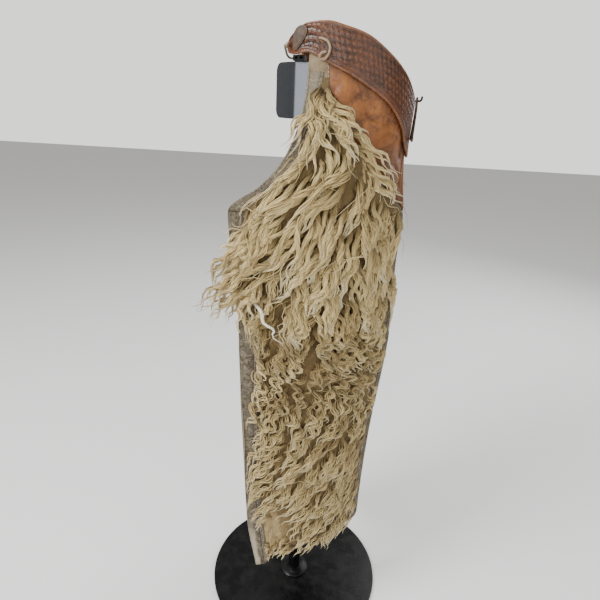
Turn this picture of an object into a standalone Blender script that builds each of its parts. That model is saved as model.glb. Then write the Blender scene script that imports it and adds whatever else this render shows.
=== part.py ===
"""Woolly leather chaps hanging on a display stand.

The wearer would face -Y with the left side at +X. The origin is the centre of the stand's underside.
Each leg is a flattened leather tube: a hair-on hide in front, plain leather behind, sewn at both edges.
Above the crotch the hide narrows to a strip that runs up to the belt, beside a smooth hip panel.
"""

import itertools
import math

import bmesh
import bpy
from mathutils import Vector

# Gaps and walls, in metres
SEAM = 0.0003
HIDE_WALL = 0.0022
BACK_WALL = 0.0020
BORDER_WALL = 0.0016
BELT_WALL = 0.0040
BELT_LIFT = 0.0008

# Heights above the floor, in metres
HEM_TIP = 0.142
CROTCH = 0.834
HIDE_TOP = 1.062

# Plan of the left half at each height: the front end and the rear end of the chord, how far the
# outer face and the inner face bow away from it, and how pointed the two ends are.
SECTIONS = (
    # z, front_x, front_y, rear_x, rear_y, crown, inner_crown, power
    (0.142, 0.122, -0.060, 0.020, 0.122, 0.026, 0.030, 2.2),
    (0.280, 0.124, -0.078, 0.020, 0.124, 0.028, 0.032, 2.2),
    (0.400, 0.125, -0.083, 0.020, 0.129, 0.030, 0.034, 2.2),
    (0.520, 0.126, -0.088, 0.020, 0.138, 0.031, 0.036, 2.2),
    (0.640, 0.126, -0.090, 0.020, 0.146, 0.033, 0.038, 2.2),
    (0.740, 0.129, -0.099, 0.020, 0.144, 0.035, 0.040, 2.2),
    (0.834, 0.130, -0.105, 0.019, 0.147, 0.037, 0.040, 2.1),
    (0.868, 0.121, -0.070, 0.015, 0.143, 0.040, 0.040, 1.8),
    (0.901, 0.106, -0.050, 0.012, 0.140, 0.044, 0.040, 1.5),
    (0.935, 0.088, -0.040, 0.010, 0.139, 0.048, 0.040, 1.3),
    (0.965, 0.074, -0.035, 0.008, 0.139, 0.052, 0.040, 1.1),
    (1.000, 0.064, -0.032, 0.007, 0.140, 0.055, 0.040, 1.0),
    (1.100, 0.058, -0.030, 0.007, 0.140, 0.056, 0.040, 1.0),
)

# Where the hide's two edges lie on the plan's curve, as angles from its front end
HIDE_EDGES = (
    # z, front_deg, rear_deg
    (0.142, 1.0, 179.0),
    (0.820, 1.0, 179.0),
    (0.834, 2.0, 166.0),
    (0.851, 9.0, 146.0),
    (0.868, 18.0, 130.0),
    (0.901, 28.0, 106.0),
    (0.935, 33.0, 88.0),
    (0.965, 36.0, 75.0),
    (1.000, 38.0, 62.0),
    (1.100, 41.0, 57.0),
)

# The hem of the hide: the leather border hangs lower than the haired part
HEM_LIFT = (
    # deg, lift
    (0.0, 0.000),
    (32.0, 0.004),
    (44.0, 0.026),
    (54.0, 0.046),
    (64.0, 0.038),
    (90.0, 0.050),
    (120.0, 0.060),
    (150.0, 0.061),
    (180.0, 0.074),
)

# The belt's two edges, as heights at angles from its front end
BELT_EDGES = (
    # deg, low, high
    (2.0, 1.0520, 1.0600),
    (8.0, 1.0470, 1.0650),
    (20.0, 1.0450, 1.0730),
    (38.0, 1.0470, 1.0830),
    (57.0, 1.0360, 1.0850),
    (73.0, 1.0240, 1.0800),
    (90.0, 1.0110, 1.0720),
    (113.0, 0.9900, 1.0510),
    (135.0, 0.9590, 1.0270),
    (155.0, 0.9280, 1.0020),
    (176.0, 0.9120, 0.9840),
)

# Largest folds and hollows of the leather
FOLDS = (
    # deg, z, half_deg, half_z, depth
    (150.0, 0.930, 16.0, 0.030, -0.0050),
    (72.0, 1.000, 9.0, 0.030, 0.0035),
    (98.0, 0.975, 10.0, 0.040, -0.0030),
    (128.0, 0.880, 12.0, 0.028, 0.0030),
    (24.0, 0.610, 12.0, 0.050, 0.0040),
    (20.0, 0.450, 10.0, 0.070, -0.0030),
    (160.0, 0.560, 14.0, 0.060, 0.0040),
    (26.0, 0.230, 14.0, 0.050, 0.0030),
)

# Folds of the plain leather on the inner side of each leg
INNER_FOLDS = (
    # deg, z, half_deg, half_z, depth
    (60.0, 0.700, 14.0, 0.110, 0.0060),
    (112.0, 0.640, 16.0, 0.130, -0.0050),
    (76.0, 0.420, 15.0, 0.120, -0.0060),
    (130.0, 0.330, 14.0, 0.110, 0.0050),
    (48.0, 0.260, 13.0, 0.090, 0.0040),
)

# How far the fur stands off the hide at each height, and the depth of its lumps
FUR_DEPTHS = (
    # z, depth, lump
    (0.142, 0.0080, 0.0020),
    (0.260, 0.0130, 0.0030),
    (0.420, 0.0160, 0.0040),
    (0.540, 0.0190, 0.0050),
    (0.640, 0.0240, 0.0070),
    (0.740, 0.0300, 0.0090),
    (0.840, 0.0300, 0.0090),
    (0.920, 0.0240, 0.0080),
    (0.970, 0.0190, 0.0060),
    (1.062, 0.0100, 0.0030),
)

# Places where the fur has worn away
FUR_WORN = (
    # deg, z, half_deg, half_z, share
    (50.0, 0.240, 14.0, 0.055, 0.80),
    (122.0, 0.530, 14.0, 0.030, 0.45),
    (86.0, 0.560, 12.0, 0.026, 0.40),
    (44.0, 0.640, 9.0, 0.045, 0.50),
)
FUR_LIFT = 0.0012
FUR_RIM = 0.0022
FUR_MARGIN = 0.12
FUR_LAST_ROW = 29
FUR_COLUMNS = 12
LUMP_WAVES_ROUND = 4.5
LUMP_WAVES_UP = 9.0
LUMP_LEAN = 2.2
CROSS_LUMP = 0.6
CROSS_LUMP_WAVES = 2.0
LUMP_SHARE = 0.6
RIM_START = 0.25
RIM_RISE = 6.0
END_START = 0.35
END_RISE_ROWS = 3.0

# Rows and columns of the hide's grid: wide rows on the leg, close rows above the crotch
LEG_ROWS = 20
HIDE_ROWS = 32
HIDE_COLUMNS = 14
INSEAM_COLUMNS = 3.0
OUTSEAM_COLUMNS = 2.0
HEM_FADE_ROWS = 7.0

# Width of the edging along the crotch curve, in columns of the hide
EDGING_WIDTHS = (
    # row, columns
    (20.0, 3.0),
    (21.0, 2.4),
    (22.0, 2.2),
    (24.0, 2.7),
    (26.0, 4.0),
    (28.0, 6.5),
    (30.0, 11.0),
    (32.0, 11.0),
)
EDGING_LAST_ROW = 30
STRIP_STEPS = 4

# Plain leather behind the leg. Its outseam margin stands out past the hide, with a torn end.
EDGE_DEG = 1.0
BACK_ROWS = 14
BACK_COLUMNS = 11
BACK_HEM = (
    # deg, z
    (0.0, 0.146),
    (45.0, 0.170),
    (110.0, 0.196),
    (180.0, 0.214),
)
BACK_TOP = (
    # deg, z
    (0.0, 0.832),
    (50.0, 0.800),
    (120.0, 0.792),
    (180.0, 0.824),
)
BACK_MARGIN = (
    # z, width
    (0.200, 0.0015),
    (0.495, 0.0015),
    (0.520, 0.0060),
    (0.560, 0.0090),
    (0.640, 0.0120),
    (0.700, 0.0100),
    (0.730, 0.0030),
    (0.830, 0.0015),
)

# Smooth hip panel between the hide and the belt
HIP_ROWS = 10
HIP_FIRST_ROW = 20.4
HIP_LAST_ROW = 30.6
HIP_ROW_STEP = 0.6
HIP_REAR_DEG = 178.0
HIP_SEAM = 0.0012
HIP_SEAM_DEG = 0.3
BELT_OVERLAP = 0.016

# Belt
BELT_COLUMNS = 32
BELT_ROWS = 4
TAB_DEG = 27.0
TAB_Z = 1.0645
TAB_HALF_DEG = 6.5
TAB_HALF_HEIGHT = 0.0120
TAB_WALL = 0.0014
TAB_STEPS = 6

# Long locks that stand past the leather's edges: the front spray and the rear fan
SPRAY_ROWS = (14.2, 19.4)
SPRAY_COLUMN = 2.85
SPRAY_COUNT = 12
SPRAY_WIDTH = 0.0060
SPRAY_LIFT = 0.0009
SPRAY_LENGTH = 0.052
SPRAY_LONGER = 0.026
SPRAY_UNEVEN = 0.005
SPRAY_FALL = 0.75
SPRAY_CURL_BACK = 0.25
SPRAY_STAND = 0.012
SPRAY_WAVE = 0.003
FAN_ROWS = (22.4, 26.8)
FAN_COUNT = 5
FAN_WIDTH = 0.0050
FAN_LIFT = 0.0008
FAN_START_DEG = 1.6
FAN_REACH_DEG = 74.0
FAN_STEP_DEG = 4.0
FAN_CLEAR = 0.004
FAN_SPREAD = 0.0065
FAN_SLANT = 1.35
FAN_WAVE = 0.002
FAN_RISE = 0.003
FAN_OUT = 0.008
LOCK_WALL = 0.0032
LOCK_TAPER = 0.85
LOCK_STEPS = 5

# Stand
BASE_RADIUS = 0.178
BASE_HEIGHT = 0.007
BASE_EDGE = 0.0015
HUB_RADIUS = 0.030
HUB_HEIGHT = 0.016
HUB_EDGE = 0.004
HUB_COLLAR = 0.006
TURNED_STEPS = 56
POLE_STEPS = 28
POLE_RADIUS = 0.0125
POLE_TOP = 1.010
FORM_WALL = 0.0020
FORM_LOW = 0.962
FORM_HIGH = 1.0375
FORM_SIDE = 0.064
FORM_BEND = -0.030
FORM_WING = (0.036, -0.057)
FORM_REAR = 0.078
FORM_REAR_HALF = 0.036
FORM_REAR_BEND = 0.050
FORM_CORNER = 0.012
FORM_ROWS = 3
BAR_HEIGHT = 0.994
BAR_HALF_HEIGHT = 0.009
BAR_HALF_DEPTH = 0.004
BRACKET_X = (0.0585, 0.0800)
BRACKET_Y = (-0.0260, -0.0100)
BRACKET_TOP = 1.0448
BRACKET_HOLE = 0.0019
HOLE_INSET = 0.0045
HOLE_CUT = 0.060
HOLE_STEPS = 12
HOOK_RADIUS = 0.0016
HOOK_HEIGHT = 0.9935
HOOK_END = 0.1585
HOOK_TIP = 0.0070
HOOK_LEAN = 0.0004

# Laces of the belt, as places on the left half: each end lies on the belt at some height and angle,
# and the rest crosses free to the other half.
LACE_RADIUS = 0.0016
KNOT_SCALE = 2.1
BACK_LACE_DEG = 168.0
BACK_LACE_Z = (0.940, 0.955)
BACK_LACE_FREE = (
    # x, out_y, below_hook
    (0.0085, 0.001, 0.0191),
    (0.0042, 0.001, 0.0012),
    (0.0018, 0.001, 0.0000),
    (0.0000, 0.001, -0.0003),
)
FRONT_LACE_Z = 1.0565
FRONT_LACE_DEG = (11.0, 7.0, 3.0)
FRONT_LACE_FREE = (
    # x, y, z
    (0.0450, -0.0425, 1.0530),
    (0.0240, -0.0440, 1.0485),
    (0.0000, -0.0445, 1.0470),
)

SIDES = (("L", 1.0), ("R", -1.0))


def lookup(table, column, key):
    """Value of one column where the first column is key, on a smooth curve through the rows."""
    last = len(table) - 1
    key = min(max(key, table[0][0]), table[last][0])
    row = 0
    while row < last - 1 and key > table[row + 1][0]:
        row += 1
    x0, x1 = table[row][0], table[row + 1][0]
    y0, y1 = table[row][column], table[row + 1][column]
    step = (y1 - y0) / (x1 - x0)
    slope0 = step if row == 0 else slope_between(table, column, row)
    slope1 = step if row == last - 1 else slope_between(table, column, row + 1)
    t = (key - x0) / (x1 - x0)
    hermite = (
        (2 * t**3 - 3 * t**2 + 1) * y0
        + (t**3 - 2 * t**2 + t) * (x1 - x0) * slope0
        + (3 * t**2 - 2 * t**3) * y1
        + (t**3 - t**2) * (x1 - x0) * slope1
    )
    return hermite


def slope_between(table, column, row):
    """Slope at an inner row, flat at a turning point so that the curve never overshoots."""
    before = (table[row][column] - table[row - 1][column]) / (table[row][0] - table[row - 1][0])
    after = (table[row + 1][column] - table[row][column]) / (table[row + 1][0] - table[row][0])
    if before * after <= 0:
        return 0.0
    return 2 * before * after / (before + after)


def fold_depth(folds, degrees, z):
    """Sum of the soft folds at one place of the leather."""
    total = 0.0
    for centre, height, half_degrees, half_height, depth in folds:
        away = ((degrees - centre) / half_degrees) ** 2 + ((z - height) / half_height) ** 2
        total += depth * math.exp(-away)
    return total


def base_point(z, degrees, face):
    """Point of the left half's middle surface. face is 1 on the outer side and -1 on the inner."""
    front = Vector((lookup(SECTIONS, 1, z), lookup(SECTIONS, 2, z)))
    rear = Vector((lookup(SECTIONS, 3, z), lookup(SECTIONS, 4, z)))
    crown = lookup(SECTIONS, 5 if face > 0 else 6, z)
    power = lookup(SECTIONS, 7, z)
    along = (rear - front).normalized()
    outward = Vector((along.y, -along.x))
    angle = math.radians(min(max(degrees, 0.0), 180.0))
    share = (1 - math.cos(angle)) / 2
    bow = crown * math.sin(angle) ** power
    bow += fold_depth(FOLDS if face > 0 else INNER_FOLDS, degrees, z)
    place = front.lerp(rear, share) + outward * bow * face
    return Vector((place.x, place.y, z))


def outward_normal(z, degrees, face):
    """Unit normal of the middle surface, pointing out of the leg."""
    inside = min(max(degrees, 1.5), 178.5)
    round_it = base_point(z, inside + 1.0, face) - base_point(z, inside - 1.0, face)
    up_it = base_point(z + 0.004, inside, face) - base_point(z - 0.004, inside, face)
    return (round_it.cross(up_it) * face).normalized()


def surface(z, degrees, off, face=1):
    """Point at a distance outside the middle surface."""
    return base_point(z, degrees, face) + outward_normal(z, degrees, face) * off


def add_material(obj, name, color, roughness, metallic=0.0):
    """Gives the object a plain surface of its own."""
    material = bpy.data.materials.new(name)
    material.use_nodes = True
    shader = material.node_tree.nodes["Principled BSDF"]
    shader.inputs["Base Color"].default_value = (*color, 1.0)
    shader.inputs["Roughness"].default_value = roughness
    shader.inputs["Metallic"].default_value = metallic
    obj.data.materials.append(material)


def add_mesh(name, points, faces, material, mirror=1.0):
    """Object from points and faces, mirrored to the other side where mirror is -1."""
    mesh = bpy.data.meshes.new(name)
    placed = [(point.x * mirror, point.y, point.z) for point in points]
    turned = faces if mirror > 0 else [tuple(reversed(face)) for face in faces]
    mesh.from_pydata(placed, [], turned)
    mesh.validate()
    shape = bmesh.new()
    shape.from_mesh(mesh)
    bmesh.ops.recalc_face_normals(shape, faces=shape.faces)
    shape.to_mesh(mesh)
    shape.free()
    mesh.shade_smooth()
    mesh.set_sharp_from_angle(angle=math.radians(40))
    obj = bpy.data.objects.new(name, mesh)
    bpy.context.scene.collection.objects.link(obj)
    add_material(obj, name, *material)
    return obj


def split(a, b, c, d):
    """Two triangles of a four-cornered face, so that walls laid on each other bend alike."""
    return [(a, b, c), (a, c, d)]


def wall_faces(rows, columns):
    """Faces of a closed wall whose outer grid comes first and whose inner grid follows."""
    second = rows * columns
    faces = []
    for i in range(rows - 1):
        for j in range(columns - 1):
            a = i * columns + j
            b = a + columns
            faces += split(a, a + 1, b + 1, b)
            faces += split(second + b + 1, second + a + 1, second + a, second + b)
    for i in range(rows - 1):
        a = i * columns
        b = a + columns
        faces.append((a, b, second + b, second + a))
        a += columns - 1
        b += columns - 1
        faces.append((a, second + a, second + b, b))
    for j in range(columns - 1):
        a = j
        faces.append((a, second + a, second + a + 1, a + 1))
        a = (rows - 1) * columns + j
        faces.append((a, a + 1, second + a + 1, second + a))
    return faces


def add_wall(name, outer, inner, material, mirror):
    """Closed wall between two grids of points of one size."""
    rows = len(outer)
    columns = len(outer[0])
    points = [point for row in outer for point in row]
    points += [point for row in inner for point in row]
    return add_mesh(name, points, wall_faces(rows, columns), material, mirror)


def row_height(row):
    """Height of a row of the hide's grid, before the hem's own curve."""
    if row <= LEG_ROWS:
        return HEM_TIP + (CROTCH - HEM_TIP) * row / LEG_ROWS
    return CROTCH + (HIDE_TOP - CROTCH) * (row - LEG_ROWS) / (HIDE_ROWS - LEG_ROWS)


def hide_place(row, column):
    """Height and angle of a point of the hide, at whole or part rows and columns of its grid."""
    flat = row_height(row)
    front = lookup(HIDE_EDGES, 1, flat)
    rear = lookup(HIDE_EDGES, 2, flat)
    degrees = front + (rear - front) * column / HIDE_COLUMNS
    fade = max(0.0, 1.0 - row / HEM_FADE_ROWS)
    z = flat + lookup(HEM_LIFT, 1, degrees) * fade
    return z, degrees


def hide_point(row, column, off):
    """Point of the hide's grid moved out, on the straight lines between the grid's own points."""
    low = int(min(column, HIDE_COLUMNS - 1))
    part = column - low
    first = surface(*hide_place(row, low), off)
    if part == 0:
        return first
    return first.lerp(surface(*hide_place(row, low + 1), off), part)


def hide_between(row, column, off):
    """Point of the hide's grid at a part row, on the straight line between two whole rows."""
    low = int(min(row, HIDE_ROWS - 1))
    return hide_point(low, column, off).lerp(hide_point(low + 1, column, off), row - low)


def spread(first, last, steps):
    """Even steps from first to last, both included."""
    return [first + (last - first) * step / steps for step in range(steps + 1)]


HIDE_COLOR = ((0.42, 0.33, 0.22), 0.80)
BORDER_COLOR = ((0.20, 0.17, 0.14), 0.75)
BACK_COLOR = ((0.15, 0.09, 0.055), 0.70)
HIP_COLOR = ((0.48, 0.20, 0.06), 0.45)
BELT_COLOR = ((0.11, 0.04, 0.022), 0.42)
FUR_COLOR = ((0.62, 0.55, 0.38), 0.85)
LACE_COLOR = ((0.30, 0.22, 0.14), 0.70)
STEEL_COLOR = ((0.06, 0.06, 0.065), 0.35, 0.8)
BLACK_COLOR = ((0.012, 0.012, 0.013), 0.40, 0.1)

HIDE_INNER = SEAM / 2
HIDE_OUTER = HIDE_INNER + HIDE_WALL
BORDER_INNER = HIDE_OUTER + SEAM
BORDER_OUTER = BORDER_INNER + BORDER_WALL
FUR_INNER = HIDE_OUTER + FUR_LIFT
BELT_INNER = HIDE_OUTER + BELT_LIFT
BELT_OUTER = BELT_INNER + BELT_WALL


def build_hide(side, mirror):
    """Hair-on hide of one leg, from the hem up to the belt."""
    columns = range(HIDE_COLUMNS + 1)
    outer, inner = [
        [[hide_point(row, column, off) for column in columns] for row in range(HIDE_ROWS + 1)]
        for off in (HIDE_OUTER, HIDE_INNER)
    ]
    add_wall("hide_" + side, outer, inner, HIDE_COLOR, mirror)


def strip_wall(name, rows, columns_of, mirror):
    """Strip of leather lying on the hide, whose columns are given for each row."""
    outer, inner = [
        [[hide_between(row, column, off) for column in columns_of(row)] for row in rows]
        for off in (BORDER_OUTER, BORDER_INNER)
    ]
    add_wall(name, outer, inner, BORDER_COLOR, mirror)


def build_borders(side, mirror):
    """Leather strips sewn on the hide's margins: inseam, outseam and the curve above the crotch."""
    leg_rows = [float(row) for row in range(LEG_ROWS + 1)]
    crotch_rows = [LEG_ROWS + 0.04] + [float(row) for row in range(LEG_ROWS + 1, EDGING_LAST_ROW + 1)]
    inseam = spread(0.0, INSEAM_COLUMNS, int(INSEAM_COLUMNS))
    outseam = spread(HIDE_COLUMNS - OUTSEAM_COLUMNS, HIDE_COLUMNS, int(OUTSEAM_COLUMNS))
    strip_wall("inseam_border_" + side, leg_rows, lambda row: inseam, mirror)
    strip_wall("outseam_border_" + side, leg_rows, lambda row: outseam, mirror)
    strip_wall("crotch_edging_" + side, crotch_rows, edging_columns, mirror)


def edging_columns(row):
    """Columns of the crotch edging at one row."""
    return spread(0.0, lookup(EDGING_WIDTHS, 1, row), STRIP_STEPS)


def fur_span(row):
    """First and last column of the fur at one row: between the borders, and up to the hip seam."""
    if row <= LEG_ROWS:
        return INSEAM_COLUMNS + FUR_MARGIN, HIDE_COLUMNS - OUTSEAM_COLUMNS - FUR_MARGIN
    first = lookup(EDGING_WIDTHS, 1, row) + FUR_MARGIN * 2
    return first, HIDE_COLUMNS - FUR_MARGIN


def fur_depth(row, column, across):
    """Depth of the fur at one place, thin at its rim and where it has worn, in leaning lumps."""
    z, degrees = hide_place(row, column)
    depth = lookup(FUR_DEPTHS, 1, z)
    lump = lookup(FUR_DEPTHS, 2, z)
    up = row / FUR_LAST_ROW
    phase = LUMP_WAVES_ROUND * across + LUMP_LEAN * math.sin(LUMP_WAVES_UP * up)
    crossing = LUMP_WAVES_UP * up + CROSS_LUMP_WAVES * across
    wave = math.sin(math.tau * phase) + CROSS_LUMP * math.sin(math.tau * crossing)
    for centre, height, half_degrees, half_height, share in FUR_WORN:
        away = ((degrees - centre) / half_degrees) ** 2 + ((z - height) / half_height) ** 2
        depth *= 1 - share * math.exp(-away)
        lump *= 1 - share * math.exp(-away)
    rise = min(1.0, RIM_START + RIM_RISE * min(across, 1.0 - across))
    rise *= min(1.0, END_START + min(row, FUR_LAST_ROW - row) / END_RISE_ROWS)
    return FUR_RIM + (depth + lump * wave * LUMP_SHARE) * rise


def build_fur(side, mirror):
    """Mass of the fur on one leg."""
    outer = []
    inner = []
    for row in range(FUR_LAST_ROW + 1):
        columns = spread(*fur_span(row), FUR_COLUMNS)
        places = [(column, step / FUR_COLUMNS) for step, column in enumerate(columns)]
        outer.append([hide_point(row, c, FUR_INNER + fur_depth(row, c, across)) for c, across in places])
        inner.append([hide_point(row, c, FUR_INNER) for c, across in places])
    add_wall("fur_" + side, outer, inner, FUR_COLOR, mirror)


def build_back(side, mirror):
    """Plain leather behind one leg, closing the tube, with a margin past the outseam."""
    grids = ([], [])
    for step in range(BACK_ROWS + 1):
        t = step / BACK_ROWS
        for grid, off in zip(grids, (HIDE_INNER + BACK_WALL, HIDE_INNER)):
            line = []
            for column in range(BACK_COLUMNS + 1):
                degrees = EDGE_DEG + (180.0 - 2 * EDGE_DEG) * column / BACK_COLUMNS
                low = lookup(BACK_HEM, 1, degrees)
                z = low + (lookup(BACK_TOP, 1, degrees) - low) * t
                line.append(surface(z, degrees, off, -1))
            beyond = (line[-1] - line[-2]).normalized()
            line.append(line[-1] + beyond * lookup(BACK_MARGIN, 1, line[-1].z))
            grid.append(line)
    add_wall("back_" + side, grids[0], grids[1], BACK_COLOR, mirror)


def build_hip(side, mirror):
    """Smooth panel over the hip, sewn to the hide's slanting edge and tucked under the belt."""
    steps = round((HIP_LAST_ROW - HIP_FIRST_ROW) / HIP_ROW_STEP)
    grids = ([], [])
    for row in spread(HIP_LAST_ROW, HIP_FIRST_ROW, steps):
        whole = int(row)
        low_z, low_deg = hide_place(whole, HIDE_COLUMNS)
        high_z, high_deg = hide_place(whole + 1, HIDE_COLUMNS)
        z0 = low_z + (high_z - low_z) * (row - whole) + HIP_SEAM
        degrees = low_deg + (high_deg - low_deg) * (row - whole) + HIP_SEAM_DEG
        degrees = min(degrees, HIP_REAR_DEG)
        top = lookup(BELT_EDGES, 1, degrees) + BELT_OVERLAP
        for grid, off in zip(grids, (HIDE_OUTER, HIDE_INNER)):
            grid.append([surface(z, degrees, off) for z in spread(z0, top, HIP_ROWS)])
    z0 = row_height(HIP_FIRST_ROW) + HIP_SEAM
    top = lookup(BELT_EDGES, 1, HIP_REAR_DEG) + BELT_OVERLAP
    for grid, off in zip(grids, (HIDE_OUTER, HIDE_INNER)):
        grid.append([surface(z, HIP_REAR_DEG, off) for z in spread(z0, top, HIP_ROWS)])
    add_wall("hip_panel_" + side, grids[0], grids[1], HIP_COLOR, mirror)


def belt_height(degrees, t):
    """Height on the belt from its lower edge, t = 0, to its upper edge, t = 1."""
    low = lookup(BELT_EDGES, 1, degrees)
    return low + (lookup(BELT_EDGES, 2, degrees) - low) * t


def build_belt(side, mirror):
    """One half of the contoured belt, with the rounded tab at its front end."""
    first, last = BELT_EDGES[0][0], BELT_EDGES[-1][0]
    grids = ([], [])
    for grid, off in zip(grids, (BELT_OUTER, BELT_INNER)):
        for degrees in spread(first, last, BELT_COLUMNS):
            heights = [belt_height(degrees, t) for t in spread(0.0, 1.0, BELT_ROWS)]
            grid.append([surface(z, degrees, off) for z in heights])
    add_wall("belt_" + side, grids[0], grids[1], BELT_COLOR, mirror)
    grids = ([], [])
    for grid, off in zip(grids, (BELT_OUTER + SEAM + TAB_WALL, BELT_OUTER + SEAM)):
        for a in spread(-1.0, 1.0, TAB_STEPS):
            line = []
            for b in spread(-1.0, 1.0, TAB_STEPS):
                x = a * math.sqrt(1 - b * b / 2)
                y = b * math.sqrt(1 - a * a / 2)
                line.append(surface(TAB_Z + y * TAB_HALF_HEIGHT, TAB_DEG + x * TAB_HALF_DEG, off))
            grid.append(line)
    add_wall("belt_tab_" + side, grids[0], grids[1], HIDE_COLOR, mirror)


def fused_locks(name, stations, trails, mirror):
    """Locks drawn out of one narrow strip. A station is its root, its outward and its free direction
    and the strip's width. Every second stretch between stations carries a lock."""
    points = []
    for root, out, away, width in stations:
        raised = root + out * LOCK_WALL
        points += [root, raised, raised + away * width, root + away * width]
    last = 4 * (len(stations) - 1)
    faces = split(0, 1, 2, 3) + split(last + 3, last + 2, last + 1, last)
    for k in range(len(stations) - 1):
        for side in range(4):
            if side != 2 or k % 2:
                a = 4 * k + side
                b = 4 * k + (side + 1) % 4
                faces += split(a, a + 4, b + 4, b)
    for lock, trail in enumerate(trails):
        first = 8 * lock
        previous = [first + 2, first + 3, first + 7, first + 6]
        offsets = [points[corner] - trail[0] for corner in previous]
        start = stations[2 * lock][2]
        for step in range(1, len(trail)):
            ahead = trail[min(step + 1, len(trail) - 1)] - trail[step - 1]
            turn = start.rotation_difference(ahead.normalized())
            share = 1.0 - LOCK_TAPER * (step / (len(trail) - 1)) ** 1.5
            ring = list(range(len(points), len(points) + 4))
            points += [trail[step] + turn @ (offset * share) for offset in offsets]
            for side in range(4):
                after = (side + 1) % 4
                faces += split(previous[side], previous[after], ring[after], ring[side])
            previous = ring
        faces += split(*previous)
    return add_mesh(name, points, faces, FUR_COLOR, mirror)


def lock_start(stations, lock):
    """Middle of the strip's free face where a lock leaves it."""
    total = Vector()
    for root, out, away, width in stations[2 * lock : 2 * lock + 2]:
        total += root + out * (LOCK_WALL / 2) + away * width
    return total / 2


def build_spray(side, mirror):
    """Front spray: locks that run forward past the inseam's edge and then fall."""
    stations = []
    for row in spread(*SPRAY_ROWS, 2 * SPRAY_COUNT - 1):
        off = BORDER_OUTER + SPRAY_LIFT
        root = hide_between(row, SPRAY_COLUMN, off)
        along = (root - hide_between(row - 0.2, SPRAY_COLUMN, off)).normalized()
        z, degrees = hide_place(row, SPRAY_COLUMN)
        out = outward_normal(z, degrees, 1)
        stations.append((root, out, out.cross(along).normalized(), SPRAY_WIDTH))
    trails = []
    for lock in range(SPRAY_COUNT):
        start = lock_start(stations, lock)
        out, away = stations[2 * lock][1:3]
        low = 1.0 - lock / (SPRAY_COUNT - 1)
        length = SPRAY_LENGTH + SPRAY_LONGER * math.sin(math.pi * min(1.0, low + 0.2))
        length += SPRAY_UNEVEN * math.sin(2.1 * lock)
        trail = []
        for t in spread(0.0, 1.0, LOCK_STEPS):
            drop = Vector((0.0, 0.0, -SPRAY_FALL * length * t**1.6))
            stand = SPRAY_STAND * math.sin(0.8 * math.pi * t)
            stand += SPRAY_WAVE * t * math.sin(1.7 * lock + 7.0 * t)
            reach = length * t * (1.0 - SPRAY_CURL_BACK * t)
            trail.append(start + away * reach + out * stand + drop)
        trails.append(trail)
    return fused_locks("front_locks_" + side, stations, trails, mirror)


def seam_height(degrees):
    """Height of the hide's rear edge above the crotch, at an angle of the plan's curve."""
    low, high = CROTCH - 0.014, HIDE_TOP
    for _ in range(30):
        middle = (low + high) / 2
        if lookup(HIDE_EDGES, 2, middle) > degrees:
            low = middle
        else:
            high = middle
    return low


def build_fan(side, mirror):
    """Rear fan: locks that leave the slanting seam and fall back over the hip panel."""
    off = HIDE_OUTER + FAN_LIFT
    stations = []
    starts = []
    for row in spread(*FAN_ROWS, 2 * FAN_COUNT - 1):
        z, degrees = hide_place(row, HIDE_COLUMNS)
        starts.append(degrees + FAN_START_DEG)
        root = surface(z, degrees + FAN_START_DEG, off)
        near = surface(*hide_place(row - 0.2, HIDE_COLUMNS), off) - surface(z, degrees, off)
        out = outward_normal(z, degrees, 1)
        stations.append((root, out, out.cross(near).normalized(), FAN_WIDTH))
    trails = []
    for lock in range(FAN_COUNT):
        trail = [lock_start(stations, lock)]
        first = (starts[2 * lock] + starts[2 * lock + 1]) / 2
        reach = min(HIP_REAR_DEG, first + FAN_REACH_DEG - FAN_STEP_DEG * lock)
        for t in spread(0.0, 1.0, LOCK_STEPS)[1:]:
            degrees = first + (reach - first) * t
            clear = FAN_WIDTH + FAN_CLEAR + FAN_SPREAD * (lock + 1) * min(1.0, 1.6 * t)
            z = seam_height(degrees) + FAN_SLANT * clear + FAN_WAVE * math.sin(9.0 * t + lock)
            trail.append(surface(z, degrees, off + FAN_RISE + FAN_OUT * t))
        trails.append(trail)
    return fused_locks("rear_locks_" + side, stations, trails, mirror)


def add_box(name, low, high, material):
    """Box between two corners."""
    ranges = list(zip(low, high))
    points = [Vector(place) for place in itertools.product(*ranges)]
    faces = [(0, 1, 3, 2), (4, 6, 7, 5), (0, 4, 5, 1), (2, 3, 7, 6), (0, 2, 6, 4), (1, 5, 7, 3)]
    return add_mesh(name, points, faces, material)


def add_turned(name, profile, steps, material):
    """Solid turned round the Z axis from (radius, height) pairs, bottom to top."""
    points = [Vector((0.0, 0.0, profile[0][1]))]
    faces = []
    for radius, height in profile:
        for step in range(steps):
            angle = math.tau * step / steps
            points.append(Vector((radius * math.cos(angle), radius * math.sin(angle), height)))
    points.append(Vector((0.0, 0.0, profile[-1][1])))
    top = len(points) - 1
    last = 1 + steps * (len(profile) - 1)
    for step in range(steps):
        after = (step + 1) % steps
        faces.append((0, 1 + after, 1 + step))
        faces.append((top, last + step, last + after))
        for ring in range(len(profile) - 1):
            a = 1 + steps * ring
            b = a + steps
            faces.append((a + step, a + after, b + after, b + step))
    return add_mesh(name, points, faces, material)


def add_wire(name, route, radius, material, knots=False):
    """Round wire or lace along a route, thicker at both ends where it is knotted."""
    curve = bpy.data.curves.new(name, "CURVE")
    curve.dimensions = "3D"
    curve.bevel_depth = radius
    curve.bevel_resolution = 2
    curve.use_fill_caps = True
    spline = curve.splines.new("POLY")
    spline.points.add(len(route) - 1)
    for index, (point, place) in enumerate(zip(spline.points, route)):
        point.co = (*place, 1.0)
        if knots and index in (0, 1, len(route) - 2, len(route) - 1):
            point.radius = KNOT_SCALE
    obj = bpy.data.objects.new(name, curve)
    bpy.context.scene.collection.objects.link(obj)
    add_material(obj, name, *material)
    return obj


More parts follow.
